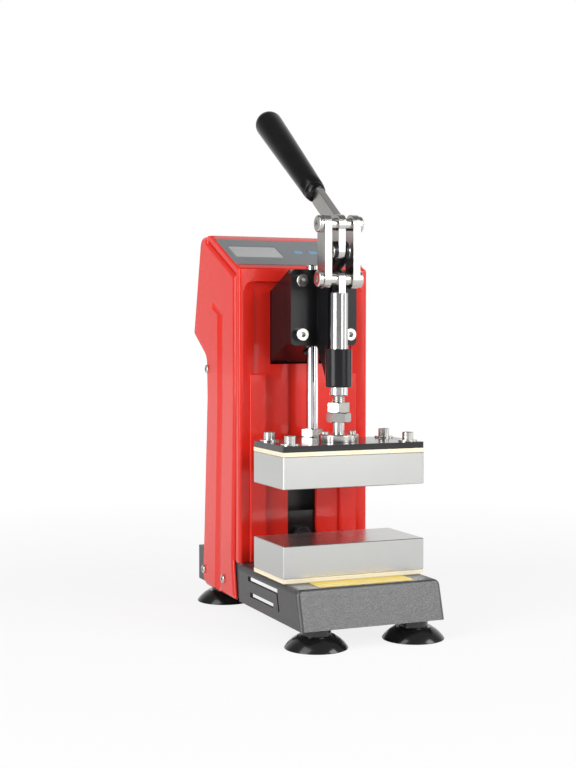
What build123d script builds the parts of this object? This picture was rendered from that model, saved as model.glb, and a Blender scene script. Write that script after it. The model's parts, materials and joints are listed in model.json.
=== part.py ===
from build123d import *
import math
import os

# Small heat press: two flat heated platens, a push-pull toggle lever and a
# control housing on a folded steel base. Millimetres. The floor is z = 0, x = 0 is
# the plane of symmetry, and the operator stands on the -y side.
os.makedirs("parts", exist_ok=True)

# ---------------------------------------------------------------- driving sizes
press_y = -53.77  # pressing axis, ahead of the middle of the footprint

platen_w = 120.0
platen_d = 61.0
platen_h = 25.0
insulation_h = 3.3
top_plate_h = 4.8
gap_open = 43.0

crank_r = 21.3  # lever pivot to upper link pin
link_length = 43.0
pivot_z = 299.7
lever_angle = 34.3

base_w = 120.6
base_bottom = 16.0
base_top = 45.9
sheet = 2.5
base_front_low = -65.1
base_front_high = -56.3
base_back = 176.0
rail_w = 111.0  # narrow rear part of the base, between the side covers

foot_x = 41.0
foot_front = -48.8
foot_back = 148.6
foot_r = 24.1
foot_neck_r = 11.3
foot_ledge_r = 14.5

housing_w = 118.0
front_y = 68.0
seam_y = 76.5
bead_y = 73.5
bead_half = 58.2
recess_y = 72.0
recess_back = 75.5
web_y = 76.5
panel_low = 288.5
panel_angle = 24.5
panel_length = 73.5
housing_top = 319.0
cover_t = 2.5
cover_wrap = 14.2

gap = 0.3  # between bodies that move past each other
running = 0.05  # radial clearance of a running fit
snug = 0.02  # radial clearance of a fixed fit

# ---------------------------------------------------------------- derived levels
lower_face = base_top + insulation_h + platen_h
upper_face = lower_face + gap_open
upper_back = upper_face + platen_h
plate_bottom = upper_back + insulation_h
plate_top = plate_bottom + top_plate_h
upper_pin_z = pivot_z + crank_r
lower_pin_z = upper_pin_z - link_length
platen_screws = [(x, y) for x in (-50.5, 50.5) for y in (-21.0, 21.0)]

half_housing = housing_w / 2
half_base = base_w / 2
half_rail = rail_w / 2


def level(z):
    """Plane at height z, with its origin on the pressing axis."""
    return Plane(origin=(0, press_y, z))


def side_plane(x):
    """Plane across the width at x. Its axes are y from the pressing axis, and z."""
    return Plane(origin=(x, press_y, 0), x_dir=(0, 1, 0), z_dir=(1, 0, 0))


def facing(y):
    """Plane that faces the operator, y behind the pressing axis. Its axes are x and z."""
    return Plane(origin=(0, press_y + y, 0), x_dir=(1, 0, 0), z_dir=(0, -1, 0))


def save(block, name):
    """Label a finished piece and write its STEP file."""
    block.part.label = name
    export_step(block.part, f"parts/{name}.step")


def cap_screw(head_r, head_h, shank_r, shank_h, socket_r):
    """Socket cap screw that stands on z = 0, its shank below."""
    with BuildPart() as screw:
        Cylinder(head_r, head_h, align=(Align.CENTER, Align.CENTER, Align.MIN))
        chamfer(screw.edges().group_by(Axis.Z)[-1], 0.4)
        Cylinder(shank_r, shank_h, align=(Align.CENTER, Align.CENTER, Align.MAX))
        with BuildSketch(Plane.XY.offset(head_h)):
            RegularPolygon(socket_r, 6)
        extrude(amount=-0.6 * head_h, mode=Mode.SUBTRACT)
    return screw.part


def pan_screw(head_r, head_h, shank_r, shank_h):
    """Cross-slot pan screw that stands on z = 0, its shank below."""
    with BuildPart() as screw:
        Cylinder(head_r, head_h, align=(Align.CENTER, Align.CENTER, Align.MIN))
        fillet(screw.edges().group_by(Axis.Z)[-1], 0.6 * head_h)
        Cylinder(shank_r, shank_h, align=(Align.CENTER, Align.CENTER, Align.MAX))
        with BuildSketch(Plane.XY.offset(head_h)):
            Rectangle(1.1 * head_r, 0.3 * head_r)
            Rectangle(0.3 * head_r, 1.1 * head_r)
        extrude(amount=-0.6 * head_h, mode=Mode.SUBTRACT)
    return screw.part


def hex_nut(across_flats, height, bore_r, turn):
    """Chamfered hexagon nut that stands on z = 0."""
    with BuildPart() as nut:
        with BuildSketch():
            RegularPolygon(across_flats / 2, 6, major_radius=False, rotation=turn)
        extrude(amount=height)
        with BuildSketch():
            Circle(0.565 * across_flats)
        extrude(amount=height, mode=Mode.INTERSECT)
        Cylinder(bore_r, 3 * height, mode=Mode.SUBTRACT)
    return nut.part


# ================================================================ base
foot_points = {
    "foot_front_left": (-foot_x, foot_front),
    "foot_front_right": (foot_x, foot_front),
    "foot_rear_left": (-foot_x, foot_back),
    "foot_rear_right": (foot_x, foot_back),
}
foot_hole_r = 4.5
foot_plate_w = 32.0
foot_plate_x = 39.0
base_rear_high = 64.5
base_rear_low = 62.5
inner_front = sheet / math.cos(math.radians(16.5))

with BuildPart() as base_frame:
    # Folded tray, open underneath, with a leaning front face.
    with BuildSketch(side_plane(-half_base)):
        with BuildLine():
            Polyline(
                (base_front_low, base_bottom),
                (base_front_high, base_top),
                (base_rear_high, base_top),
                (base_rear_low, base_bottom),
                close=True,
            )
        make_face()
    extrude(amount=base_w)
    fillet(base_frame.edges().filter_by(Axis.Y).group_by(Axis.Z)[-1], 5.0)
    fillet(base_frame.edges().group_by(Axis.Z)[-1].sort_by(Axis.Y)[0], 3.0)
    # The rear of the tray is narrower and runs out under the housing.
    with BuildSketch(level(base_bottom)):
        with Locations((0, (base_rear_low + base_back) / 2)):
            Rectangle(rail_w, base_back - base_rear_low)
    extrude(amount=base_top - base_bottom)
    with BuildSketch(side_plane(-half_base + sheet)):
        with BuildLine():
            Polyline(
                (base_front_low + inner_front, base_bottom),
                (base_front_high + inner_front - 0.7, base_top - sheet),
                (base_rear_high, base_top - sheet),
                (base_rear_low, base_bottom),
                close=True,
            )
        make_face()
    extrude(amount=base_w - 2 * sheet, mode=Mode.SUBTRACT)
    with BuildSketch(level(base_bottom)):
        with Locations((0, (base_rear_low - 10 + base_back) / 2)):
            Rectangle(rail_w - 2 * sheet, base_back - base_rear_low + 10)
    extrude(amount=base_top - base_bottom - sheet, mode=Mode.SUBTRACT)
    # Foot plates, welded into the four corners.
    with BuildSketch(level(base_bottom)):
        with Locations((-foot_x, foot_front), (foot_x, foot_front)):
            Rectangle(2 * (half_base - foot_x) - 1.0, 22.0)
        with Locations((-foot_plate_x, foot_back), (foot_plate_x, foot_back)):
            Rectangle(foot_plate_w, foot_plate_w)
    extrude(amount=sheet)
    with BuildSketch(level(base_bottom)):
        with Locations(*foot_points.values()):
            Circle(foot_hole_r)
    extrude(amount=sheet, mode=Mode.SUBTRACT)
    # Two vent slots and a slit in each side wall.
    with BuildSketch(side_plane(-half_base)):
        with Locations((11.9, 38.2)):
            Rectangle(61.8, 4.0)
        with Locations((13.5, 25.9)):
            Rectangle(49.0, 3.8)
        with BuildLine():
            Polyline((-16.6, 38.0), (-21.0, 23.2), (-23.4, 23.4), (-19.2, 38.0), close=True)
        make_face()
    extrude(amount=base_w, mode=Mode.SUBTRACT)
    with BuildSketch(level(base_top - sheet)):
        with Locations(*platen_screws):
            Circle(2.6)
    extrude(amount=sheet, mode=Mode.SUBTRACT)
    with BuildSketch(side_plane(-half_rail)):
        with Locations((103.1, 27.7), (152.2, 28.1)):
            Circle(1.6)
    extrude(amount=rail_w, mode=Mode.SUBTRACT)
save(base_frame, "base_frame")

for foot_name, foot_point in foot_points.items():
    with BuildPart() as foot:
        with BuildSketch(Plane.XZ):
            with BuildLine():
                Polyline(
                    (0, 3.4),
                    (14.0, 2.6),
                    (21.6, 0),
                    (foot_r, 0),
                    (foot_r, 0.8),
                    (foot_ledge_r + 0.3, 9.3),
                    (foot_ledge_r - 0.1, 9.6),
                    (foot_neck_r, 9.6),
                    (foot_neck_r, base_bottom),
                    (foot_hole_r - snug, base_bottom),
                    (foot_hole_r - snug, base_bottom + sheet),
                    (6.4, base_bottom + sheet),
                    (4.2, base_bottom + sheet + 4.0),
                    (0, base_bottom + sheet + 4.0),
                    close=True,
                )
            make_face()
        revolve(axis=Axis.Z)
    with BuildPart() as placed_foot:
        with Locations((foot_point[0], press_y + foot_point[1], 0)):
            add(foot.part)
    save(placed_foot, foot_name)

with BuildPart() as base_label:
    with BuildSketch(level(base_top)):
        with Locations((0, -42.9)):
            RectangleRounded(80.0, 20.6, 1.5)
    extrude(amount=0.3)
save(base_label, "base_label")

# ================================================================ lower platen
heater_w = 90.0
heater_d = 46.0
heater_h = 2.0
lead_r = 3.0
lower_lead_z = 64.5
lower_back = base_top + insulation_h

with BuildPart() as lower_insulation:
    with BuildSketch(level(base_top)):
        Rectangle(platen_w, platen_d)
        with Locations(*platen_screws):
            Circle(2.6, mode=Mode.SUBTRACT)
    extrude(amount=insulation_h)
save(lower_insulation, "lower_insulation")

with BuildPart() as lower_platen:
    with BuildSketch(level(lower_back)):
        Rectangle(platen_w, platen_d)
    extrude(amount=platen_h)
    chamfer(lower_platen.edges(), 0.5)
    with BuildSketch(level(lower_back)):
        Rectangle(heater_w + 0.4, heater_d + 0.4)
    extrude(amount=heater_h + 0.1, mode=Mode.SUBTRACT)
    with BuildSketch(level(lower_back)):
        with Locations(*platen_screws):
            Circle(2.5 + snug)
    extrude(amount=14.0, mode=Mode.SUBTRACT)
save(lower_platen, "lower_platen")

with BuildPart() as lower_heater:
    with BuildSketch(level(lower_back)):
        Rectangle(heater_w, heater_d)
    extrude(amount=heater_h)
save(lower_heater, "lower_heater")

with BuildPart() as lower_screws:
    lower_seat = level(base_top - sheet)
    with Locations(Plane(lower_seat.origin, x_dir=(1, 0, 0), z_dir=(0, 0, -1))):
        with Locations(*platen_screws):
            add(cap_screw(4.3, 5.0, 2.5, 16.0, 2.2))
save(lower_screws, "lower_screws")

# ================================================================ column and bracket
column_w = 80.0
column_back = 118.0
column_top = 276.0
window_w = 29.0
slot_low = 54.0
slot_high = 140.0
slot_half = 13.2
column_t = 3.0
bracket_screw_points = [(x, z) for x in (-21.0, 21.0) for z in (224.0, 254.0)]

with BuildPart() as column_frame:
    # Upright steel channel, welded to the top of the base.
    with BuildSketch(level(base_top)):
        with Locations((0, (web_y + column_back) / 2)):
            Rectangle(column_w, column_back - web_y)
        with Locations((0, (web_y + column_t + column_back) / 2)):
            Rectangle(column_w - 2 * column_t, column_back - web_y - column_t, mode=Mode.SUBTRACT)
    extrude(amount=column_top - base_top)
    with BuildSketch(level(base_top)):
        with Locations((0, (web_y + column_back) / 2)):
            Rectangle(column_w, column_back - web_y)
    extrude(amount=column_t)
    with BuildSketch(facing(web_y)):
        with Locations((0, (86.0 + slot_high) / 2)):
            Rectangle(window_w, slot_high - 86.0)
        with Locations((0, lower_lead_z)):
            Circle(6.0 + snug)
        with Locations(*bracket_screw_points):
            Circle(3.2)
    extrude(amount=-column_t, mode=Mode.SUBTRACT)
save(column_frame, "column_frame")

bracket_w = 57.0
casting_back = 34.0
rod_y = 51.4
rod_r = 5.0
bush_r = 8.0
bracket_outline = [(casting_back, 286.0), (web_y, 268.6), (web_y, 209.6), (casting_back, 229.1)]
bracket_pocket = [(42.0, 277.5), (web_y, 263.4), (web_y, 214.9), (42.0, 231.0)]
casting_screw_points = [(x, z) for x in (-21.0, 21.0) for z in (234.4, 277.2)]

with BuildPart() as press_bracket:
    with BuildSketch(side_plane(-bracket_w / 2)):
        with BuildLine():
            Polyline(*bracket_outline, close=True)
        make_face()
    extrude(amount=bracket_w)
    with BuildSketch(side_plane(-13.0)):
        with BuildLine():
            Polyline(*bracket_pocket, close=True)
        make_face()
    extrude(amount=26.0, mode=Mode.SUBTRACT)
    with BuildSketch(level(200.0)):
        with Locations((0, rod_y)):
            Circle(bush_r + snug)
    extrude(amount=100.0, mode=Mode.SUBTRACT)
    with BuildSketch(facing(casting_back)):
        with Locations(*casting_screw_points):
            Circle(3.0 + snug)
    extrude(amount=-12.5, mode=Mode.SUBTRACT)
    with BuildSketch(facing(web_y)):
        with Locations(*bracket_screw_points):
            Circle(3.0 + snug)
    extrude(amount=15.0, mode=Mode.SUBTRACT)
save(press_bracket, "press_bracket")

with BuildPart() as guide_bushing:
    with BuildSketch(level(224.5)):
        with Locations((0, rod_y)):
            Circle(bush_r)
            Circle(rod_r + running, mode=Mode.SUBTRACT)
    extrude(amount=50.5)
save(guide_bushing, "guide_bushing")

# ================================================================ toggle casting
casting_front = 28.0
casting_w = 58.0
casting_low = 225.4
casting_high = 286.4
barrel_r = 10.5
barrel_low = 193.0
barrel_high = 223.1
barrel_bore_r = 8.5
plunger_r = 7.2
web_front = 9.0
ear_inner = 3.4
ear_outer = 5.8
pivot_r = 4.0
boss_r = 8.0

with BuildPart() as toggle_body:
    with BuildSketch(facing(casting_back)):
        with Locations((0, (casting_low + casting_high) / 2)):
            RectangleRounded(casting_w, casting_high - casting_low, 4.0)
    extrude(amount=casting_back - casting_front)
    with BuildSketch(level(barrel_low)):
        Circle(barrel_r)
    extrude(amount=barrel_high - barrel_low)
    fillet(toggle_body.edges().group_by(Axis.Z)[0], 1.2)
    # Rib from the plate to the barrel, and on up to the ears.
    with BuildSketch(side_plane(-6.0)):
        with BuildLine():
            Polyline(
                (web_front, barrel_low + 2.0),
                (casting_front + 1.0, casting_low + 0.6),
                (casting_front + 1.0, casting_high - 6.0),
                (web_front, 276.0),
                close=True,
            )
        make_face()
    extrude(amount=12.0)
    for ear_x in (-ear_outer, ear_inner):
        with BuildSketch(side_plane(ear_x)):
            with Locations((0, pivot_z)):
                Circle(boss_r)
            with BuildLine():
                Polyline(
                    (-3.0, pivot_z - 7.4),
                    (web_front, 285.0),
                    (web_front, 262.0),
                    (casting_front + 1.0, 262.0),
                    (casting_front + 1.0, casting_high),
                    (2.6, pivot_z + 7.5),
                    close=True,
                )
            make_face()
        extrude(amount=ear_outer - ear_inner)
    with BuildSketch(level(barrel_low)):
        Circle(barrel_bore_r + snug)
    extrude(amount=barrel_high - barrel_low, mode=Mode.SUBTRACT)
    with BuildSketch(side_plane(-ear_outer)):
        with Locations((0, pivot_z)):
            Circle(pivot_r + snug)
    extrude(amount=2 * ear_outer, mode=Mode.SUBTRACT)
    # Slot between the ears for the lever's crank.
    with BuildSketch(side_plane(-ear_inner)):
        with Locations((0, 290.0)):
            Rectangle(2 * web_front + 6.0, 40.0)
    extrude(amount=2 * ear_inner, mode=Mode.SUBTRACT)
    with BuildSketch(facing(casting_back)):
        with Locations(*casting_screw_points):
            Circle(3.2)
    extrude(amount=casting_back - casting_front, mode=Mode.SUBTRACT)
save(toggle_body, "toggle_body")

# The same screw holds the casting on the bracket, and the bracket on the column.
with BuildPart() as body_screws:
    with Locations(facing(casting_front)):
        with Locations(*casting_screw_points):
            add(cap_screw(5.1, 6.0, 3.0, 16.0, 2.5))
    column_seat = Plane(facing(web_y + column_t).origin, x_dir=(1, 0, 0), z_dir=(0, 1, 0))
    with Locations(column_seat):
        with Locations(*[(x, -z) for x, z in bracket_screw_points]):
            add(cap_screw(5.1, 6.0, 3.0, 16.0, 2.5))
save(body_screws, "body_screws")

with BuildPart() as barrel_bush:
    with BuildSketch(level(barrel_low)):
        Circle(barrel_bore_r)
        Circle(plunger_r + running, mode=Mode.SUBTRACT)
    extrude(amount=barrel_high - barrel_low)
save(barrel_bush, "barrel_bush")

link_inner = 9.2
link_outer = 15.2
pivot_head_r = 6.6
pivot_head_h = 1.6
with BuildPart() as pivot_pin:
    with BuildSketch(side_plane(-ear_outer)):
        with Locations((0, pivot_z)):
            Circle(pivot_r)
    extrude(amount=2 * ear_outer)
    for head_x in (-ear_outer - pivot_head_h, ear_outer):
        with BuildSketch(side_plane(head_x)):
            with Locations((0, pivot_z)):
                Circle(pivot_head_r)
        extrude(amount=pivot_head_h)
    chamfer(pivot_pin.edges().filter_by(GeomType.CIRCLE).sort_by(Axis.X)[0], 0.5)
    chamfer(pivot_pin.edges().filter_by(GeomType.CIRCLE).sort_by(Axis.X)[-1], 0.5)
save(pivot_pin, "pivot_pin")

# ================================================================ lever
lever_t = 6.2
bar_w = 14.0
bar_z = upper_pin_z - 2.0
grip_start = 49.6
grip_round = 175.4
grip_r_low = 9.0
grip_r_high = 12.0
tang_w = 8.0
tang_end = 96.0
lever_dir = (0, math.cos(math.radians(lever_angle)), math.sin(math.radians(lever_angle)))


def lever_plane(x):
    """Plane across the width at x, its own x axis along the lever's bar."""
    return Plane(origin=(x, press_y, bar_z), x_dir=lever_dir, z_dir=(1, 0, 0))


with BuildPart() as lever_arm:
    with BuildSketch(side_plane(-lever_t / 2)):
        with Locations((0, pivot_z)):
            Circle(6.4)
        with Locations((0, (pivot_z + upper_pin_z) / 2)):
            Rectangle(12.8, crank_r)
        with Locations((0, upper_pin_z)):
            Circle(7.8)
    extrude(amount=lever_t)
    with BuildSketch(lever_plane(-lever_t / 2)):
        Rectangle(grip_start, bar_w, align=(Align.MIN, Align.CENTER))
        Rectangle(tang_end, tang_w, align=(Align.MIN, Align.CENTER))
    extrude(amount=lever_t)
    with BuildSketch(side_plane(-lever_t / 2)):
        with Locations((0, pivot_z)):
            Circle(pivot_r + running)
        with Locations((0, upper_pin_z)):
            Circle(pivot_r + snug)
    extrude(amount=lever_t, mode=Mode.SUBTRACT)
save(lever_arm, "lever_arm")

with BuildPart() as grip:
    with BuildSketch(lever_plane(0)):
        with BuildLine():
            Polyline(
                (grip_round + grip_r_high, 0),
                (grip_start, 0),
                (grip_start, grip_r_low - 1.0),
                (grip_start + 1.0, grip_r_low),
                (grip_start + 20.0, grip_r_low + 0.1),
                (grip_round, grip_r_high),
            )
            CenterArc((grip_round, 0), grip_r_high, 0, 90)
        make_face()
    revolve(axis=Axis(lever_plane(0).origin, lever_dir))
    with BuildSketch(lever_plane(-lever_t / 2 - 0.05)):
        Rectangle(tang_end + 0.2, tang_w + 0.1, align=(Align.MIN, Align.CENTER))
    extrude(amount=lever_t + 0.1, mode=Mode.SUBTRACT)
save(grip, "grip")

pin_head_r = 6.7
pin_head_h = 3.6
spacer_r = 5.0
spacer_end = link_inner - gap


def pin_head(side):
    """Domed head of a link pin, on the outside of the link on one side."""
    with BuildPart() as head:
        with BuildSketch():
            Circle(pin_head_r)
        extrude(amount=pin_head_h)
        fillet(head.edges().group_by(Axis.Z)[-1], 1.4)
        with BuildSketch(Plane.XY.offset(pin_head_h)):
            RegularPolygon(2.9, 6)
        extrude(amount=-1.6, mode=Mode.SUBTRACT)
    seat = Plane((side * (link_outer + gap), 0, 0), x_dir=(0, 1, 0), z_dir=(side, 0, 0))
    return head.part.moved(seat.location)


with BuildPart() as upper_pin:
    with BuildSketch(side_plane(-link_outer - gap - 1.0)):
        with Locations((0, upper_pin_z)):
            Circle(pivot_r)
    extrude(amount=2 * (link_outer + gap + 1.0))
    with Locations((0, press_y, upper_pin_z)):
        add(pin_head(-1))
        add(pin_head(1))
save(upper_pin, "upper_pin")

with BuildPart() as upper_spacers:
    for spacer_x in (-spacer_end, lever_t / 2):
        with BuildSketch(side_plane(spacer_x)):
            with Locations((0, upper_pin_z)):
                Circle(spacer_r)
                Circle(pivot_r + snug, mode=Mode.SUBTRACT)
        extrude(amount=spacer_end - lever_t / 2)
save(upper_spacers, "upper_spacers")

# ================================================================ links
link_r = 7.6
for link_name, link_x in (("link_left", -link_outer), ("link_right", link_inner)):
    with BuildPart() as link:
        with BuildSketch(side_plane(link_x)):
            with Locations((0, (upper_pin_z + lower_pin_z) / 2)):
                SlotCenterToCenter(link_length, 2 * link_r, rotation=90)
            with Locations((0, upper_pin_z)):
                Circle(pivot_r + running, mode=Mode.SUBTRACT)
            with Locations((0, lower_pin_z)):
                Circle(pivot_r + snug, mode=Mode.SUBTRACT)
        extrude(amount=link_outer - link_inner)
    save(link, link_name)

with BuildPart() as link_screws:
    for screw_x in (-link_outer - gap - 1.0, link_inner + 0.1):
        with BuildSketch(side_plane(screw_x)):
            with Locations((0, lower_pin_z)):
                Circle(pivot_r)
        extrude(amount=link_outer - link_inner + gap + 0.9)
    with Locations((0, press_y, lower_pin_z)):
        add(pin_head(-1))
        add(pin_head(1))
save(link_screws, "link_screws")

# ================================================================ ram
plunger_low = 186.4
plunger_round = 267.6
tongue_t = 5.6
thread_r = 5.0

with BuildPart() as plunger:
    with BuildSketch(level(plunger_low)):
        Circle(plunger_r)
    extrude(amount=plunger_round - plunger_low)
    chamfer(plunger.edges().group_by(Axis.Z)[-1], 1.0)
    chamfer(plunger.edges().group_by(Axis.Z)[0], 0.6)
    with BuildSketch(side_plane(-tongue_t / 2)):
        with Locations((0, (plunger_round - 2.0 + lower_pin_z) / 2)):
            Rectangle(2 * 6.6, lower_pin_z - plunger_round + 2.0)
        with Locations((0, lower_pin_z)):
            Circle(6.6)
            Circle(pivot_r + snug, mode=Mode.SUBTRACT)
    extrude(amount=tongue_t)
    with BuildSketch(level(plunger_low)):
        Circle(thread_r + running)
    extrude(amount=36.0, mode=Mode.SUBTRACT)
save(plunger, "plunger")

with BuildPart() as plunger_pin:
    with BuildSketch(side_plane(-spacer_end)):
        with Locations((0, lower_pin_z)):
            Circle(pivot_r)
    extrude(amount=2 * spacer_end)
save(plunger_pin, "plunger_pin")

with BuildPart() as plunger_spacers:
    for spacer_x in (-spacer_end, tongue_t / 2):
        with BuildSketch(side_plane(spacer_x)):
            with Locations((0, lower_pin_z)):
                Circle(spacer_r)
                Circle(pivot_r + snug, mode=Mode.SUBTRACT)
        extrude(amount=spacer_end - tongue_t / 2)
save(plunger_spacers, "plunger_spacers")

# ================================================================ spindle
nut_flats = 17.0
swivel_r = 15.6
swivel_h = 6.0
collar_r = 8.0
collar_h = 2.7
shaft_r = 4.5
spindle_hex_low = 165.4
spindle_hex_h = 7.5
thread_top = 215.0
spindle_hex_turn = 5.0
jam_nut_turn = 35.0

with BuildPart() as adjusting_spindle:
    with BuildSketch(level(plate_top + gap)):
        Circle(collar_r)
    extrude(amount=collar_h)
    with BuildSketch(level(plate_top + gap)):
        Circle(shaft_r)
    extrude(amount=spindle_hex_low - plate_top - gap)
    with Locations(level(spindle_hex_low)):
        add(hex_nut(nut_flats, spindle_hex_h, 1.0, spindle_hex_turn))
    with BuildSketch(level(spindle_hex_low)):
        Circle(thread_r)
    extrude(amount=thread_top - spindle_hex_low)
    chamfer(adjusting_spindle.edges().group_by(Axis.Z)[-1], 0.8)
save(adjusting_spindle, "adjusting_spindle")

with BuildPart() as jam_nut:
    with Locations(level(spindle_hex_low + spindle_hex_h + 0.2)):
        add(hex_nut(nut_flats, 8.0, thread_r + snug, jam_nut_turn))
save(jam_nut, "jam_nut")

# ================================================================ upper platen carriage
tab_w = 40.0
tab_back = 62.5
flange_screw_x = 12.0
washer_h = 1.2

with BuildPart() as top_plate:
    with BuildSketch(level(plate_bottom)) as plate_outline:
        RectangleRounded(platen_w, platen_d, 1.5)
        with Locations((0, tab_back / 2)):
            RectangleRounded(tab_w, tab_back, 4.0)
        with Locations(*platen_screws):
            Circle(2.7, mode=Mode.SUBTRACT)
        with Locations((0, rod_y)):
            Circle(rod_r + snug, mode=Mode.SUBTRACT)
        with Locations((-flange_screw_x, 0), (flange_screw_x, 0)):
            Circle(1.5 + snug, mode=Mode.SUBTRACT)
    extrude(amount=top_plate_h)
save(top_plate, "top_plate")

with BuildPart() as upper_insulation:
    with BuildSketch(level(upper_back)):
        Rectangle(platen_w, platen_d)
        with Locations(*platen_screws):
            Circle(2.7, mode=Mode.SUBTRACT)
    extrude(amount=insulation_h)
save(upper_insulation, "upper_insulation")

with BuildPart() as upper_platen:
    with BuildSketch(level(upper_face)):
        Rectangle(platen_w, platen_d)
    extrude(amount=platen_h)
    chamfer(upper_platen.edges(), 0.5)
    with BuildSketch(level(upper_back)):
        Rectangle(heater_w + 0.4, heater_d + 0.4)
    extrude(amount=-heater_h - 0.1, mode=Mode.SUBTRACT)
    with BuildSketch(level(upper_back)):
        with Locations(*platen_screws):
            Circle(2.5 + snug)
    extrude(amount=-14.0, mode=Mode.SUBTRACT)
save(upper_platen, "upper_platen")

with BuildPart() as upper_heater:
    with BuildSketch(level(upper_back)):
        Rectangle(heater_w, heater_d)
    extrude(amount=-heater_h)
save(upper_heater, "upper_heater")

with BuildPart() as plate_washers:
    with BuildSketch(level(plate_top)):
        with Locations(*platen_screws):
            Circle(7.4)
            Circle(2.7, mode=Mode.SUBTRACT)
    extrude(amount=washer_h)
save(plate_washers, "plate_washers")

with BuildPart() as plate_screws:
    with Locations(level(plate_top + washer_h)):
        with Locations(*platen_screws):
            add(cap_screw(4.4, 6.2, 2.5, 21.0, 2.2))
save(plate_screws, "plate_screws")

with BuildPart() as swivel_flange:
    with BuildSketch(level(plate_top)):
        Circle(swivel_r)
    extrude(amount=swivel_h)
    chamfer(swivel_flange.edges().group_by(Axis.Z)[-1], 0.8)
    with BuildSketch(level(plate_top)):
        Circle(collar_r + gap)
    extrude(amount=collar_h + 2 * gap, mode=Mode.SUBTRACT)
    with BuildSketch(level(plate_top)):
        Circle(shaft_r + running)
        with Locations((-flange_screw_x, 0), (flange_screw_x, 0)):
            Circle(1.6)
    extrude(amount=swivel_h, mode=Mode.SUBTRACT)
save(swivel_flange, "swivel_flange")

with BuildPart() as flange_screws:
    with Locations(level(plate_top + swivel_h)):
        with Locations((-flange_screw_x, 0), (flange_screw_x, 0)):
            add(cap_screw(2.9, 2.2, 1.5, 9.0, 1.1))
save(flange_screws, "flange_screws")

rod_top = 291.2
rod_nut_turn = 36.0
with BuildPart() as guide_rod:
    with BuildSketch(level(plate_bottom)):
        with Locations((0, rod_y)):
            Circle(rod_r)
    extrude(amount=rod_top - plate_bottom)
    chamfer(guide_rod.edges().group_by(Axis.Z)[-1], 0.8)
save(guide_rod, "guide_rod")

with BuildPart() as guide_rod_nut:
    with Locations(Plane(level(plate_top).origin + Vector(0, rod_y, 0))):
        add(hex_nut(nut_flats, 7.0, rod_r + snug, rod_nut_turn))
save(guide_rod_nut, "guide_rod_nut")

# ================================================================ leads
relay_front = 95.0
upper_lead_z = upper_face + 12.6
entry_z = 110.0
platen_back = platen_d / 2


def cable_gland(body_r, nose_r, length):
    """Domed cable gland that stands on z = 0, with the lead's hole through it."""
    with BuildPart() as gland:
        with BuildSketch():
            RegularPolygon(body_r, 6, major_radius=False)
        extrude(amount=0.4 * length)
        with BuildSketch(Plane.XY.offset(0.4 * length)):
            Circle(body_r)
        with BuildSketch(Plane.XY.offset(length)):
            Circle(nose_r)
        loft()
        Cylinder(lead_r + 0.1, 3 * length, mode=Mode.SUBTRACT)
    return gland.part


with BuildPart() as lower_gland:
    with Locations(facing(web_y)):
        with Locations((0, lower_lead_z)):
            add(cable_gland(7.9, 5.6, 17.0))
    with BuildSketch(facing(web_y)):
        with Locations((0, lower_lead_z)):
            Circle(6.0)
            Circle(lead_r + 0.1, mode=Mode.SUBTRACT)
    extrude(amount=-column_t - 4.0)
save(lower_gland, "lower_gland")

with BuildPart() as upper_gland:
    with Locations(facing(platen_back)):
        with Locations(Location((0, upper_lead_z, 0), (180, 0, 0))):
            add(cable_gland(6.0, 4.2, 10.0))
save(upper_gland, "upper_gland")

with BuildPart() as lower_lead:
    with BuildSketch(facing(relay_front)):
        with Locations((0, lower_lead_z)):
            Circle(lead_r)
    extrude(amount=relay_front - platen_back - 0.1)
save(lower_lead, "lower_lead")

upper_route = [
    (platen_back + gap, upper_lead_z),
    (platen_back + 22.5, upper_lead_z),
    (67.0, entry_z),
    (relay_front, entry_z),
]
upper_bends = [14.0, 21.0]
with BuildPart() as upper_lead:
    with BuildLine(side_plane(0)) as upper_path:
        FilletPolyline(*upper_route, radius=upper_bends)
    with BuildSketch(facing(platen_back + gap)):
        with Locations((0, upper_lead_z)):
            Circle(lead_r)
    sweep(path=upper_path.line)
save(upper_lead, "upper_lead")
upper_length = upper_path.wire().length
lead_area = math.pi * lead_r**2
print("upper lead bends", upper_bends, "mm, length", round(upper_length, 1))
print("upper lead volume ratio", round(upper_lead.part.volume / lead_area / upper_length, 4))

with BuildPart() as power_relay:
    with BuildSketch(facing(relay_front)):
        with Locations((0, 91.0)):
            RectangleRounded(44.0, 62.0, 2.0)
    extrude(amount=-20.0)
save(power_relay, "power_relay")

# ================================================================ housing outlines
rear_low = (158.6, 14.0)
rear_mid = (146.0, 180.0)
rear_hollow = (147.4, 213.6)
rear_kink = (181.0, 234.0)
rear_top = (161.4, housing_top)
seam_top = (143.3, 313.5)
seam_corner = (seam_y, 283.0)
seam_mid = (seam_y, 183.0)
seam_flare = (82.0, 46.5)
seam_low = (77.0, 14.0)
bead_corner = (bead_y, 285.0)
bead_top = (seam_top[0] - 0.1, 316.7)

with BuildSketch() as cover_outline:
    with BuildLine():
        Polyline(
            seam_low,
            seam_flare,
            seam_mid,
            seam_corner,
            seam_top,
            (seam_top[0], housing_top),
            rear_top,
            rear_kink,
            rear_hollow,
            rear_mid,
            rear_low,
            close=True,
        )
    make_face()
    corner = cover_outline.vertices()
    fillet(corner.sort_by_distance(rear_top + (0,))[0], 9.0)
    fillet(cover_outline.vertices().sort_by_distance(rear_kink + (0,))[0], 5.0)
    fillet(cover_outline.vertices().sort_by_distance(rear_hollow + (0,))[0], 10.0)
    fillet(cover_outline.vertices().sort_by_distance(rear_low + (0,))[0], 11.0)
    fillet(cover_outline.vertices().sort_by_distance(seam_corner + (0,))[0], 5.0)

with BuildSketch() as cover_hollow:
    add(cover_outline.sketch)
    offset(amount=-cover_t, mode=Mode.REPLACE)

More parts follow.
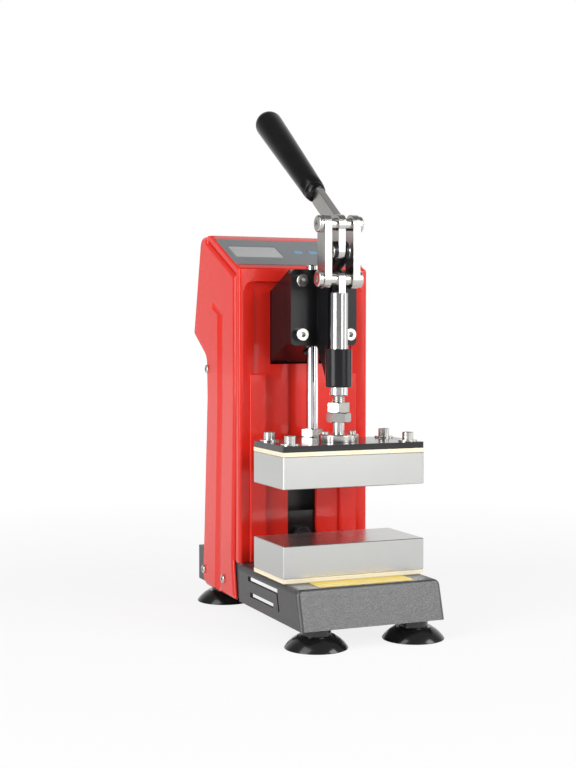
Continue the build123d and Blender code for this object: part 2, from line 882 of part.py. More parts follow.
seam_strip = 16.0
cover_edge_r = 4.0
channel_t = 1.6
channel_sections = [(252.0, 118.0, 111.0, 103.4), (179.0, 118.0, 111.4, 104.8), (6.0, 126.2, 117.8, 108.8)]
branch_route = [(130.4, 259.0), (106.4, 249.2)]
branch_w = 5.8
branch_draft = 55.0
cover_screw_points = [(142.2, 204.1), (152.2, 28.1), (103.1, 27.7)]
screw_r = 1.5


def side_cover(side):
    """Side cover: a flat wall with a rim along its top, back and bottom."""
    with BuildPart() as cover:
        with BuildSketch(side_plane(side * half_housing)):
            add(cover_outline.sketch)
        extrude(amount=-side * cover_wrap)
        fillet(cover.faces().sort_by(Axis.X)[0 if side < 0 else -1].edges(), cover_edge_r)
        with BuildSketch(side_plane(side * (half_housing - cover_t))):
            add(cover_hollow.sketch)
            with BuildLine():
                Polyline(
                    (seam_low[0] - 5.0, seam_low[1] + cover_t),
                    (seam_y - 5.0, seam_mid[1]),
                    (seam_y - 5.0, seam_corner[1] + 10.0),
                    (seam_top[0], housing_top - cover_t),
                    (seam_top[0] + 1.0, seam_top[1] - seam_strip),
                    (seam_y + seam_strip, seam_corner[1] - seam_strip),
                    (seam_flare[0] + seam_strip, seam_low[1] + cover_t),
                    close=True,
                )
            make_face()
        extrude(amount=-side * cover_wrap, mode=Mode.SUBTRACT)
        # The rim stops above the base, which runs out between the covers.
        with BuildSketch(level(0)):
            with Locations((0, 120.0)):
                Rectangle(housing_w - 2 * cover_t - 0.6, 120.0)
        extrude(amount=base_top + gap, mode=Mode.SUBTRACT)
        # Shallow styling valley down the outside, its slanted branch, and the screw holes.
        for channel_z, channel_rear, channel_floor, channel_front in channel_sections:
            with BuildSketch(level(channel_z)):
                with BuildLine():
                    Polyline(
                        (side * (half_housing + 0.5), channel_rear),
                        (side * half_housing, channel_rear),
                        (side * (half_housing - channel_t), channel_floor),
                        (side * half_housing, channel_front),
                        (side * (half_housing + 0.5), channel_front),
                        close=True,
                    )
                make_face()
        loft(ruled=True, mode=Mode.SUBTRACT)
        with BuildSketch(side_plane(side * half_housing)):
            with BuildLine():
                Polyline(*branch_route)
            trace(line_width=branch_w)
        extrude(amount=-side * channel_t, taper=branch_draft, mode=Mode.SUBTRACT)
        with BuildSketch(side_plane(side * half_housing)):
            with Locations(*cover_screw_points):
                Circle(2.0)
        extrude(amount=-side * cover_t, mode=Mode.SUBTRACT)
    return cover.part


for cover_name, cover_side in (("left_cover", -1), ("right_cover", 1)):
    with BuildPart() as finished_cover:
        add(side_cover(cover_side))
    save(finished_cover, cover_name)

with BuildPart() as cover_screws:
    for screw_side in (-1, 1):
        screw_seat = Plane(side_plane(screw_side * half_housing).origin, x_dir=(0, 1, 0), z_dir=(screw_side, 0, 0))
        for screw_y, screw_z in cover_screw_points:
            with Locations(screw_seat):
                with Locations((screw_y, screw_side * screw_z)):
                    add(pan_screw(3.7, 1.8, screw_r, 8.0))
save(cover_screws, "cover_screws")

# ================================================================ rear cover
rear_w = 2 * (half_housing - cover_wrap) - 0.4
rear_lean = math.degrees(math.atan2(rear_low[0] - rear_mid[0], rear_mid[1] - rear_low[1]))
rear_slope = (rear_low[0] - rear_mid[0]) / (rear_mid[1] - rear_low[1])
fitting_z = 74.0
lug_w = 8.0
lug_centre = (140.2, 204.1)
inlet_x = 19.0
switch_x = -21.0
rear_normal = (0, math.cos(math.radians(rear_lean)), math.sin(math.radians(rear_lean)))


def rear_plane(x, z, depth=0.0):
    """Plane on the lower rear wall, facing out; x and z place its origin."""
    y = rear_mid[0] + (rear_mid[1] - z) * rear_slope
    origin = Vector(x, press_y + y, z) - depth * Vector(*rear_normal)
    return Plane(origin, x_dir=(-1, 0, 0), z_dir=rear_normal)


with BuildPart() as rear_cover:
    with BuildSketch(side_plane(-rear_w / 2)):
        add(cover_outline.sketch)
        add(cover_hollow.sketch, mode=Mode.SUBTRACT)
        with BuildLine():
            Polyline(
                (seam_low[0] - 20.0, 0.0),
                (seam_low[0] - 20.0, housing_top + 5.0),
                (seam_top[0] + 0.2, housing_top + 5.0),
                (seam_top[0] + 0.2, base_top + 0.4),
                (rear_low[0] + 20.0, base_top + 0.4),
                (rear_low[0] + 20.0, 0.0),
                close=True,
            )
        make_face(mode=Mode.SUBTRACT)
    extrude(amount=rear_w)
    # Lugs that take the upper screws of the side covers.
    with BuildSketch(side_plane(-half_housing + cover_t)):
        with Locations(lug_centre):
            Rectangle(lug_w, 10.0)
    extrude(amount=housing_w - 2 * cover_t)
    with BuildSketch(side_plane(-rear_w / 2)):
        with Locations((lug_centre[0] + 2.0, lug_centre[1])):
            Rectangle(lug_w, 10.0)
    extrude(amount=rear_w)
    with BuildSketch(side_plane(-rear_w / 2 + 8.0)):
        with Locations((lug_centre[0] - 0.5, lug_centre[1])):
            Rectangle(lug_w + 1.0, 11.0)
        add(cover_hollow.sketch, mode=Mode.INTERSECT)
    extrude(amount=rear_w - 16.0, mode=Mode.SUBTRACT)
    with BuildSketch(side_plane(-half_housing)):
        with Locations(cover_screw_points[0]):
            Circle(screw_r + snug)
    extrude(amount=housing_w, mode=Mode.SUBTRACT)
    with BuildSketch(rear_plane(0, 140.0)):
        with GridLocations(0, 7.0, 1, 7):
            SlotOverall(56.0, 3.0)
    extrude(amount=-6.0, mode=Mode.SUBTRACT)
    with BuildSketch(rear_plane(inlet_x, fitting_z)):
        Rectangle(27.4, 20.2)
    extrude(amount=-6.0, mode=Mode.SUBTRACT)
    with BuildSketch(rear_plane(switch_x, fitting_z)):
        Rectangle(22.0, 15.0)
    extrude(amount=-6.0, mode=Mode.SUBTRACT)
save(rear_cover, "rear_cover")

# ================================================================ mains inlet and switch
with BuildPart() as mains_inlet:
    with BuildSketch(rear_plane(inlet_x, fitting_z)):
        RectangleRounded(31.0, 24.0, 3.0)
    extrude(amount=2.0)
    with BuildSketch(rear_plane(inlet_x, fitting_z)):
        Rectangle(27.2, 20.0)
    extrude(amount=-19.0)
    with BuildSketch(rear_plane(inlet_x, fitting_z, -2.0)):
        RectangleRounded(24.4, 16.6, 3.0)
    extrude(amount=-17.0, mode=Mode.SUBTRACT)
    with BuildSketch(rear_plane(inlet_x, fitting_z, 15.0)):
        with Locations((-7.0, -2.0), (0, 2.0), (7.0, -2.0)):
            Rectangle(2.1, 4.1)
    extrude(amount=-4.0, mode=Mode.SUBTRACT)
save(mains_inlet, "mains_inlet")

with BuildPart() as inlet_pins:
    with BuildSketch(rear_plane(inlet_x, fitting_z, 22.0)):
        with Locations((-7.0, -2.0), (0, 2.0), (7.0, -2.0)):
            Rectangle(2.0, 4.0)
    extrude(amount=20.0)
    chamfer(inlet_pins.edges().group_by(Axis((0, 0, 0), rear_normal))[-1], 0.5)
save(inlet_pins, "inlet_pins")

rocker_half = 8.4
rocker_tilt = 7.0
rocker_r = 5.7
trunnion_r = 1.5
rocker_depth = 1.0  # hinge axis below the rear wall's face

with BuildPart() as switch_frame:
    with BuildSketch(rear_plane(switch_x, fitting_z)):
        RectangleRounded(26.0, 18.0, 1.5)
    extrude(amount=1.8)
    with BuildSketch(rear_plane(switch_x, fitting_z)):
        Rectangle(21.8, 14.8)
    extrude(amount=-14.0)
    with BuildSketch(rear_plane(switch_x, fitting_z, -1.8)):
        Rectangle(2 * (rocker_half + gap), 13.0)
    extrude(amount=-11.0, mode=Mode.SUBTRACT)
    with BuildSketch(Plane(rear_plane(switch_x - 10.4, fitting_z, rocker_depth).origin, x_dir=(0, 1, 0), z_dir=(1, 0, 0))):
        Circle(trunnion_r + running)
    extrude(amount=20.8, mode=Mode.SUBTRACT)
save(switch_frame, "switch_frame")


def rocker_plane(x):
    """Plane across the rocker at x, its own y axis out of the tilted rocker."""
    hinge = rear_plane(switch_x + x, fitting_z, rocker_depth).origin
    tilt = math.radians(rear_lean - rocker_tilt)
    out = Vector(0, math.cos(tilt), math.sin(tilt))
    return Plane(hinge, x_dir=out.cross(Vector(1, 0, 0)), z_dir=(1, 0, 0))


with BuildPart() as rocker:
    with BuildSketch(rocker_plane(-rocker_half)):
        with BuildLine():
            Polyline((-rocker_r, 0), (-rocker_r, 4.4), (0, 3.2), (rocker_r, 4.4), (rocker_r, 0))
            ThreePointArc((-rocker_r, 0), (0, -rocker_r), (rocker_r, 0))
        make_face()
    extrude(amount=2 * rocker_half)
    with BuildSketch(rocker_plane(-rocker_half - 1.2)):
        Circle(trunnion_r)
    extrude(amount=2 * rocker_half + 2.4)
save(rocker, "rocker")

# ================================================================ front shell
strip_outer = 54.6
strip_inner = 44.0
strip_depth = 2.6
shell_edge_r = 2.6
flange_t = 2.5
pilaster_outer = 48.4
pilaster_inner = 33.6
recess_top = 278.0
pilaster_top = 201.8
shell_low = base_top + 0.4
channel_depth = 1.8
bracket_window = (58.0, 209.7, 270.8)
panel_rise = math.sin(math.radians(panel_angle))
panel_run = math.cos(math.radians(panel_angle))


def panel_plane(height=0.0):
    """Plane of the slanted control panel, origin in the middle of its lower edge."""
    normal = Vector(0, -panel_rise, panel_run)
    origin = Vector(0, press_y + front_y, panel_low) + height * normal
    return Plane(origin, x_dir=(1, 0, 0), z_dir=normal)


overlay_w = 114.0
overlay_h = 55.6
overlay_y = 36.2
pocket_depth = 0.5
overlay_t = 0.8
display_centre = (-30.1, 36.8)
display_w = 43.2
display_h = 24.6
key_y = 37.3
key_w = 8.4
key_h = 6.4
key_stem_r = 2.0
key_top = 0.5
key_bottom = -0.3
key_travel = 0.4
keys = {"key_set": 8.9, "key_down": 23.1, "key_up": 37.3, "key_mode": 50.6}
panel_top = (front_y + panel_length * panel_run, panel_low + panel_length * panel_rise)

def outside_edge(edge):
    """Whether an edge of the shell's block is rounded: those round the front and the panel."""
    middle = edge.center()
    y = middle.Y - press_y
    if abs(middle.X) < 1.0:
        return middle.Z > shell_low + 1.0 and y < front_y + 1.0
    return abs(edge.length - (panel_low - shell_low)) < 0.1 or (
        abs(edge.length - panel_length) < 0.1 and middle.Z > (panel_low + panel_top[1]) / 2 - 0.1
    )


def on_pilaster(edge):
    """Whether an edge lies round the front face of a pilaster."""
    middle = edge.center()
    near_front = abs(middle.Y - press_y - front_y) < 0.05
    low = middle.Z < pilaster_top + 0.1 and middle.Z > shell_low + 1.0
    return near_front and low and pilaster_inner - 0.1 < abs(middle.X) < pilaster_outer + 0.1


with BuildPart() as front_shell:
    with BuildSketch(side_plane(-bead_half)):
        with BuildLine():
            Polyline(
                (front_y, shell_low),
                (front_y, panel_low),
                panel_top,
                (bead_top[0], housing_top),
                bead_top,
                bead_corner,
                (bead_y, seam_mid[1]),
                (bead_y + 2.0, shell_low),
                close=True,
            )
        make_face()
    extrude(amount=2 * bead_half)
    outline = front_shell.edges().filter_by(outside_edge)
    fillet(outline, shell_edge_r)
    # Flange on each side, reaching back under the edge of the side cover.
    for flange_x in (-half_housing + cover_t + 0.3, half_housing - cover_t - 0.3 - flange_t):
        with BuildSketch(side_plane(flange_x)):
            with BuildLine():
                Polyline(
                    (bead_y - 1.0, shell_low),
                    (bead_y - 1.0, bead_corner[1]),
                    (bead_top[0], bead_top[1] + 0.5),
                    (bead_top[0], seam_top[1] - 3.0),
                    (seam_y + 3.0, seam_corner[1] - 1.0),
                    (seam_y + 3.0, seam_mid[1]),
                    (seam_flare[0] + 1.0, shell_low),
                    close=True,
                )
            make_face()
        extrude(amount=flange_t)
    # Tray behind the recess, then the recess itself: sloped flanks that end in a straight step.
    with BuildSketch(facing(recess_back)):
        with Locations((0, (shell_low + recess_top + 3.0) / 2)):
            Rectangle(2 * strip_inner + 6.0, recess_top + 3.0 - shell_low)
    extrude(amount=recess_back - front_y - 1.0)
    with BuildSketch(facing(front_y)):
        with Locations((0, (shell_low - 20.0 + recess_top) / 2)):
            RectangleRounded(2 * strip_outer, recess_top - shell_low + 20.0, 9.0)
    with BuildSketch(facing(front_y + strip_depth)):
        with Locations((0, (shell_low - 20.0 + recess_top) / 2)):
            RectangleRounded(2 * strip_inner, recess_top - shell_low + 18.0, 5.0)
    loft(mode=Mode.SUBTRACT)
    with BuildSketch(facing(front_y + strip_depth)):
        with Locations((0, (shell_low - 20.0 + recess_top) / 2)):
            RectangleRounded(2 * strip_inner, recess_top - shell_low + 18.0, 5.0)
    extrude(amount=-(recess_y - front_y - strip_depth), mode=Mode.SUBTRACT)
    # Raised pilaster on each side, below the bracket.
    for pilaster_side in (-1, 1):
        with BuildSketch(facing(recess_back)):
            with Locations((pilaster_side * (pilaster_outer + pilaster_inner) / 2, (shell_low + pilaster_top) / 2)):
                Rectangle(pilaster_outer - pilaster_inner, pilaster_top - shell_low)
        extrude(amount=recess_back - front_y)
    raised = front_shell.edges().filter_by(on_pilaster)
    fillet(raised, 1.4)
    # Channel behind the guide rod, the cable slot below it, the bracket's window.
    with BuildSketch(facing(recess_y)):
        with Locations((0, (slot_high + bracket_window[1]) / 2)):
            Rectangle(2 * slot_half, bracket_window[1] - slot_high + 2.0)
    extrude(amount=-channel_depth, mode=Mode.SUBTRACT)
    with BuildSketch(facing(recess_y)):
        with Locations((0, (slot_low + slot_high) / 2)):
            Rectangle(2 * slot_half, slot_high - slot_low)
        with Locations((0, (bracket_window[1] + bracket_window[2]) / 2)):
            Rectangle(bracket_window[0], bracket_window[2] - bracket_window[1])
    extrude(amount=-6.0, mode=Mode.SUBTRACT)
    with BuildSketch(panel_plane()):
        with Locations((0, overlay_y)):
            RectangleRounded(overlay_w + 0.2, overlay_h + 0.2, 1.6)
    extrude(amount=-pocket_depth, mode=Mode.SUBTRACT)
    with BuildSketch(panel_plane()):
        with Locations(display_centre):
            Rectangle(display_w + 0.4, display_h + 0.4)
        with Locations(*[(x, key_y) for x in keys.values()]):
            Circle(key_stem_r + 0.5)
    extrude(amount=-12.0, mode=Mode.SUBTRACT)
    with BuildSketch(panel_plane()):
        with Locations(*[(x, key_y) for x in keys.values()]):
            Rectangle(key_w + 0.6, key_h + 0.6)
    extrude(amount=key_bottom - key_travel - 0.5, mode=Mode.SUBTRACT)
save(front_shell, "front_shell")

with BuildPart() as control_overlay:
    with BuildSketch(panel_plane(-pocket_depth)):
        with Locations((0, overlay_y)):
            RectangleRounded(overlay_w, overlay_h, 1.5)
        with Locations(display_centre):
            Rectangle(display_w, display_h, mode=Mode.SUBTRACT)
        with Locations(*[(x, key_y) for x in keys.values()]):
            Rectangle(key_w + 0.6, key_h + 0.6, mode=Mode.SUBTRACT)
    extrude(amount=overlay_t)
save(control_overlay, "control_overlay")

with BuildPart() as display_panel:
    with BuildSketch(panel_plane(-2.8)):
        with Locations(display_centre):
            Rectangle(display_w - 0.2, display_h - 0.2)
    extrude(amount=2.8)
save(display_panel, "display_panel")

for key_name, key_x in keys.items():
    with BuildPart() as key:
        with BuildSketch(panel_plane(key_bottom)):
            with Locations((key_x, key_y)):
                RectangleRounded(key_w, key_h, 1.0)
        extrude(amount=key_top - key_bottom)
        with BuildSketch(panel_plane(key_bottom)):
            with Locations((key_x, key_y)):
                Circle(key_stem_r)
        extrude(amount=-8.0)
    save(key, key_name)

with BuildPart() as control_board:
    with BuildSketch(panel_plane(-9.2)):
        with Locations((0, 36.0)):
            Rectangle(104.0, 44.0)
    extrude(amount=-1.6)
save(control_board, "control_board")
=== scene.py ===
"""Looks of the lever plate press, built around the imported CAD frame."""

from __future__ import annotations

import json
import logging
import math
from dataclasses import dataclass, field
from enum import Enum
from typing import Sequence

import bmesh
import bpy
from mathutils import Matrix, Vector

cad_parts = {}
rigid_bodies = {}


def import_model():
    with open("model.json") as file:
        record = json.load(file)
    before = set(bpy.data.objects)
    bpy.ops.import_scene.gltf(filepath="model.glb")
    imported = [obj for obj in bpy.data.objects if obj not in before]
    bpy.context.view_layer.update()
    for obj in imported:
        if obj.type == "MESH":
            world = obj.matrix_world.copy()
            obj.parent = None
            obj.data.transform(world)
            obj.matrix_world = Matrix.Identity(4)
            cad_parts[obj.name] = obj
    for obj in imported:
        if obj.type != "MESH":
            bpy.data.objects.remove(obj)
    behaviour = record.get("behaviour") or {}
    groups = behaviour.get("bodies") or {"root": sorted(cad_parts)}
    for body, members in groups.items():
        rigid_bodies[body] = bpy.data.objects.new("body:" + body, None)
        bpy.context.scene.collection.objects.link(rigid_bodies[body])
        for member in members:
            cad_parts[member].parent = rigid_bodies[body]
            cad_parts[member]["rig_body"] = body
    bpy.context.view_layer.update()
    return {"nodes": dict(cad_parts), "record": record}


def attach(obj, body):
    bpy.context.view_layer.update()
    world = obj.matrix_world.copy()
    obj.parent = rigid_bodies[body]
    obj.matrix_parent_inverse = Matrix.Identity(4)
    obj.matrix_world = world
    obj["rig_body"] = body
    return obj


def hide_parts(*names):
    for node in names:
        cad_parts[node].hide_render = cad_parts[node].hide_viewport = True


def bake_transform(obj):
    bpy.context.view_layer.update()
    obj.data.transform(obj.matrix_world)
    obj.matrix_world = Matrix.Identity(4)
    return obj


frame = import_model()

LOG = logging.getLogger("plate_press")
MM = 0.001
PRESS_Y = -53.77 * MM
TWO_PI = 2 * math.pi
WELD = 1e-6  # metres within which two points of a mesh become one

Colour = tuple[float, float, float]
Pair = tuple[float, float]
Triple = tuple[float, float, float]
Settings = dict[str, object]  # a node's properties by name
Inputs = dict[int | str, object]  # a node's values and wires by socket
WHITE = (1, 1, 1, 1)


# ------------------------------------------------------------------ shader maths
class Wire:
    """A shader socket that takes part in arithmetic, adding Math nodes as it goes."""

    def __init__(self, graph: Graph, socket: bpy.types.NodeSocket) -> None:
        """Wrap a socket.

        Args:
            graph: the graph that the socket belongs to.
            socket: the output socket.
        """
        self.graph = graph
        self.socket = socket

    def _math(self, operation: str, first: Wire | float, second: Wire | float) -> Wire:
        """Add one Math node."""
        settings = {"operation": operation}
        return self.graph.node("ShaderNodeMath", settings, {0: first, 1: second})

    def __add__(self, other: Wire | float) -> Wire:
        """Sum of two values."""
        return self._math("ADD", self, other)

    __radd__ = __add__

    def __sub__(self, other: Wire | float) -> Wire:
        """Difference of two values."""
        return self._math("SUBTRACT", self, other)

    def __rsub__(self, other: float) -> Wire:
        """A number less this value."""
        return self._math("SUBTRACT", other, self)

    def __mul__(self, other: Wire | float) -> Wire:
        """Product of two values."""
        return self._math("MULTIPLY", self, other)

    __rmul__ = __mul__

    def __truediv__(self, other: Wire | float) -> Wire:
        """Quotient of two values."""
        return self._math("DIVIDE", self, other)

    def at_least(self, other: Wire | float) -> Wire:
        """The larger of two values."""
        return self._math("MAXIMUM", self, other)

    def at_most(self, other: Wire | float) -> Wire:
        """The smaller of two values."""
        return self._math("MINIMUM", self, other)

    def over(self, edge: float) -> Wire:
        """1 where the value is above an edge, else 0."""
        return self._math("GREATER_THAN", self, edge)


class Graph:
    """One node tree, of a material or of the world."""

    def __init__(self, name: str) -> None:
        """Start an empty material.

        Args:
            name: the material's name.
        """
        self.material = bpy.data.materials.new(name)
        self.material.use_nodes = True
        self.tree = self.material.node_tree
        self.tree.nodes.clear()

    @classmethod
    def of_world(cls, world: bpy.types.World) -> Graph:
        """A graph over the emptied node tree of a world.

        Args:
            world: the world, with its nodes on.

        Returns:
            The graph.
        """
        made = cls.__new__(cls)
        made.tree = world.node_tree
        made.tree.nodes.clear()
        return made

    def raw(
        self,
        kind: str,
        settings: Settings | None = None,
        inputs: Inputs | None = None,
    ) -> bpy.types.Node:
        """Add a node.

        Args:
            kind: the node's type.
            settings: properties to set first.
            inputs: values or wires by socket name or number.

        Returns:
            The node.
        """
        made = self.tree.nodes.new(kind)
        for key, value in (settings or {}).items():
            setattr(made, key, value)
        for key, value in (inputs or {}).items():
            if isinstance(value, Wire):
                self.tree.links.new(value.socket, made.inputs[key])
            else:
                made.inputs[key].default_value = value
        return made

    def node(
        self,
        kind: str,
        settings: Settings | None = None,
        inputs: Inputs | None = None,
        output: int | str = 0,
    ) -> Wire:
        """Add a node and return one of its outputs as a wire."""
        return Wire(self, self.raw(kind, settings, inputs).outputs[output])

    def place(self, stretch: Triple = (1, 1, 1)) -> Wire:
        """Object coordinates, stretched.

        Args:
            stretch: how much denser a pattern gets along each axis.

        Returns:
            The coordinates.
        """
        coords = self.node("ShaderNodeTexCoord", output="Object")
        inputs = {"Vector": coords, "Scale": list(stretch)}
        return self.node("ShaderNodeMapping", inputs=inputs)

    def noise(
        self,
        size: float,
        detail: float = 2.0,
        rough: float = 0.5,
        at: Wire | None = None,
    ) -> Wire:
        """Cloudy noise.

        Args:
            size: width of its features in metres.
            detail: octaves.
            rough: strength of the finer octaves.
            at: coordinates; plain object coordinates when left out.

        Returns:
            A value about 0.5.
        """
        inputs = {
            "Vector": at or self.place(),
            "Scale": 1 / size,
            "Detail": detail,
            "Roughness": rough,
        }
        return self.node("ShaderNodeTexNoise", inputs=inputs)

    def mix(self, factor: Wire | float, first: Wire | Colour, second: Wire | Colour) -> Wire:
        """Blend two colours.

        Args:
            factor: share of the second colour.
            first: colour at a factor of 0.
            second: colour at a factor of 1.

        Returns:
            The blended colour.
        """
        colours = [c if isinstance(c, Wire) else (*c, 1.0) for c in (first, second)]
        inputs = {0: factor, 6: colours[0], 7: colours[1]}
        return self.node("ShaderNodeMix", {"data_type": "RGBA"}, inputs, 2)

    def bump(self, height: Wire, depth: float, strength: float = 1.0) -> Wire:
        """Turn a height into a normal.

        Args:
            height: value from 0 to 1.
            depth: depth of a height of 1, in metres.
            strength: share of the effect.

        Returns:
            The normal.
        """
        inputs = {"Height": height, "Distance": depth, "Strength": strength}
        return self.node("ShaderNodeBump", inputs=inputs)

    def finish(self, **sockets: Wire | float) -> bpy.types.Material:
        """Close the material with one Principled shader.

        Args:
            sockets: values or wires by socket name, with _ for a space.

        Returns:
            The material.
        """
        inputs = {key.replace("_", " "): value for key, value in sockets.items()}
        surface = self.node("ShaderNodeBsdfPrincipled", inputs=inputs)
        self.raw("ShaderNodeOutputMaterial", inputs={"Surface": surface})
        return self.material


# ------------------------------------------------------------------ finishes
def dimmed(colour: Colour, share: float) -> Colour:
    """A colour times a share, which lightens it above 1."""
    return tuple(share * c for c in colour)


@dataclass(frozen=True)
class PowderCoat:
    """Glossy sprayed coat with a faint orange peel. Lengths are in metres."""

    name: str
    colour: Colour
    roughness: float = 0.26
    shine: float = 0.25
    coat: float = 0.25
    coat_roughness: float = 0.05
    peel: float = 0.0025
    peel_depth: float = 0.000012
    cloud: float = 0.06
    cloud_shade: float = 0.86
    spread: float = 0.1

    def make(self) -> bpy.types.Material:
        """Build the material.

        Returns:
            The material.
        """
        g = Graph(self.name)
        peel = g.noise(self.peel)
        cloud = g.noise(self.cloud)
        return g.finish(
            Base_Color=g.mix(cloud, dimmed(self.colour, self.cloud_shade), self.colour),
            Roughness=self.roughness + self.spread * (cloud - 0.5),
            Normal=g.bump(peel, self.peel_depth),
            Specular_IOR_Level=self.shine,
            Coat_Weight=self.coat,
            Coat_Roughness=self.coat_roughness,
        )


@dataclass(frozen=True)
class WrinkleCoat:
    """Matt wrinkle paint with a leathery grain whose crests are painted lighter, a painted
    highlight. Lengths are in metres.
    """

    name: str
    colour: Colour
    grain: float = 0.0012
    depth: float = 0.00017
    relief: float = 0.8
    fold: float = 2.2
    rounding: float = 0.35
    grain_share: float = 0.6
    fold_share: float = 0.7
    # how much lighter the grain's crests are painted: a painted highlight
    crest_highlight: float = 1.35
    roughness: float = 0.36
    spread: float = 0.16
    shine: float = 0.9

    def make(self) -> bpy.types.Material:
        """Build the material.

        Returns:
            The material.
        """
        g = Graph(self.name)
        folds = g.noise(self.grain * self.fold)
        cells = g.node(
            "ShaderNodeTexVoronoi",
            {"feature": "SMOOTH_F1"},
            {"Vector": g.place(), "Scale": 1 / self.grain, "Smoothness": self.rounding},
        )
        height = cells * self.grain_share + folds * self.fold_share
        return g.finish(
            # painted highlight: the grain's crests are painted lighter than its hollows
            Base_Color=g.mix(height, self.colour, dimmed(self.colour, self.crest_highlight)),
            Roughness=self.roughness + self.spread * folds,
            Specular_IOR_Level=self.shine,
            Normal=g.bump(height, self.depth, self.relief),
        )


@dataclass(frozen=True)
class SatinPaint:
    """Thin satin paint on a casting or plate. Lengths are in metres."""

    name: str
    colour: Colour
    roughness: float
    shine: float
    grain: float = 0.0006
    depth: float = 0.00003
    relief: float = 0.6
    cloud: float = 0.02
    cloud_shade: float = 1.3
    spread: float = 0.12

    def make(self) -> bpy.types.Material:
        """Build the material.

        Returns:
            The material.
        """
        g = Graph(self.name)
        fine = g.noise(self.grain)
        cloud = g.noise(self.cloud)
        return g.finish(
            Base_Color=g.mix(cloud, self.colour, dimmed(self.colour, self.cloud_shade)),
            Roughness=self.roughness + self.spread * (cloud - 0.5),
            Specular_IOR_Level=self.shine,
            Normal=g.bump(fine, self.depth, self.relief),
        )


@dataclass(frozen=True)
class MilledMetal:
    """Aluminium with upright tool lines on its sides and a ground top, in metres."""

    name: str
    colour: Colour
    roughness: float = 0.26
    top_roughness: float = 0.28
    spread: float = 0.05
    side_line: float = 0.0008
    side_stretch: Triple = (1, 1, 0.006)
    top_line: float = 0.0012
    top_stretch: Triple = (0.02, 1, 1)
    line_rough: float = 0.6
    line_shade: float = 0.93
    depth: float = 0.000004
    relief: float = 0.6

    def make(self) -> bpy.types.Material:
        """Build the material.

        Returns:
            The material.
        """
        g = Graph(self.name)
        side = g.noise(self.side_line, rough=self.line_rough, at=g.place(self.side_stretch))
        top = g.noise(self.top_line, rough=self.line_rough, at=g.place(self.top_stretch))
        facing = Wire(g, g.raw("ShaderNodeNewGeometry").outputs["Normal"])
        up = g.node("ShaderNodeSeparateXYZ", inputs={0: facing}, output=2)
        flat = (up * up).over(0.5)
        lines = side * (1 - flat) + top * flat
        rough = self.roughness * (1 - flat) + self.top_roughness * flat
        return g.finish(
            Base_Color=g.mix(lines, dimmed(self.colour, self.line_shade), self.colour),
            Metallic=1.0,
            Roughness=rough + self.spread * (lines - 0.5),
            Normal=g.bump(lines, self.depth, self.relief),
        )


@dataclass(frozen=True)
class PlatedSteel:
    """Plated metal, slightly clouded. Lengths are in metres."""

    name: str
    colour: Colour
    tint: Colour
    roughness: float
    cloud: float = 0.008
    cloud_detail: float = 3.0
    cloud_rough: float = 0.6
    spread: float = 0.07
    grain: float = 0.0005
    grain_spread: float = 0.03
    depth: float = 0.000006
    relief: float = 0.6

    def make(self) -> bpy.types.Material:
        """Build the material.

        Returns:
            The material.
        """
        g = Graph(self.name)
        cloud = g.noise(self.cloud, self.cloud_detail, self.cloud_rough)
        fine = g.noise(self.grain)
        return g.finish(
            Base_Color=g.mix(cloud, self.colour, self.tint),
            Metallic=1.0,
            Roughness=self.roughness + self.spread * (cloud - 0.5) + self.grain_spread * fine,
            Normal=g.bump(fine, self.depth, self.relief),
        )


@dataclass(frozen=True)
class LayeredBoard:
    """Cream heat board whose edge shows its layers. Lengths are in metres."""

    name: str
    colour: Colour
    shadow: Colour = (0.80, 0.74, 0.60)
    roughness: float = 0.72
    fibre: float = 0.0012
    fibre_detail: float = 3.0
    fibre_rough: float = 0.6
    fibre_stretch: Triple = (1, 1, 4)
    fibre_share: float = 0.6
    layer_scale: float = 190.0
    layer_waver: float = 0.4
    layer_share: float = 0.55
    depth: float = 0.00008
    relief: float = 0.7

    def make(self) -> bpy.types.Material:
        """Build the material.

        Returns:
            The material.
        """
        g = Graph(self.name)
        at = g.place(self.fibre_stretch)
        fibre = g.noise(self.fibre, self.fibre_detail, self.fibre_rough, at)
        layer = g.node(
            "ShaderNodeTexWave",
            {"wave_type": "BANDS", "bands_direction": "Z", "wave_profile": "SIN"},
            {
                "Vector": g.place(),
                "Scale": self.layer_scale,
                "Distortion": self.layer_waver,
                "Detail": 1.0,
            },
        )
        shade = (self.layer_share * layer + self.fibre_share * fibre).at_most(1.0)
        deep = tuple(s * c for s, c in zip(self.shadow, self.colour))
        return g.finish(
            Base_Color=g.mix(shade, deep, self.colour),
            Roughness=self.roughness,
            Normal=g.bump(fibre, self.depth, self.relief),
        )


@dataclass(frozen=True)
class Moulded:
    """Moulded plastic or rubber. Lengths are in metres."""

    name: str
    colour: Colour
    roughness: float
    grain: float = 0.0007
    depth: float = 0.00003
    relief: float = 0.7
    coat: float = 0.0
    coat_roughness: float = 0.06
    shine: float = 0.5
    dust: float = 0.015
    dust_detail: float = 3.0
    dust_rough: float = 0.6
    dust_shade: float = 1.25
    dust_lift: float = 0.004
    spread: float = 0.14

    def make(self) -> bpy.types.Material:
        """Build the material.

        Returns:
            The material.
        """
        g = Graph(self.name)
        fine = g.noise(self.grain)
        dust = g.noise(self.dust, self.dust_detail, self.dust_rough)
        light = tuple(c * self.dust_shade + self.dust_lift for c in self.colour)
        return g.finish(
            Base_Color=g.mix(dust, self.colour, light),
            Roughness=self.roughness + self.spread * (dust - 0.5),
            Normal=g.bump(fine, self.depth, self.relief),
            Specular_IOR_Level=self.shine,
            Coat_Weight=self.coat,
            Coat_Roughness=self.coat_roughness,
        )


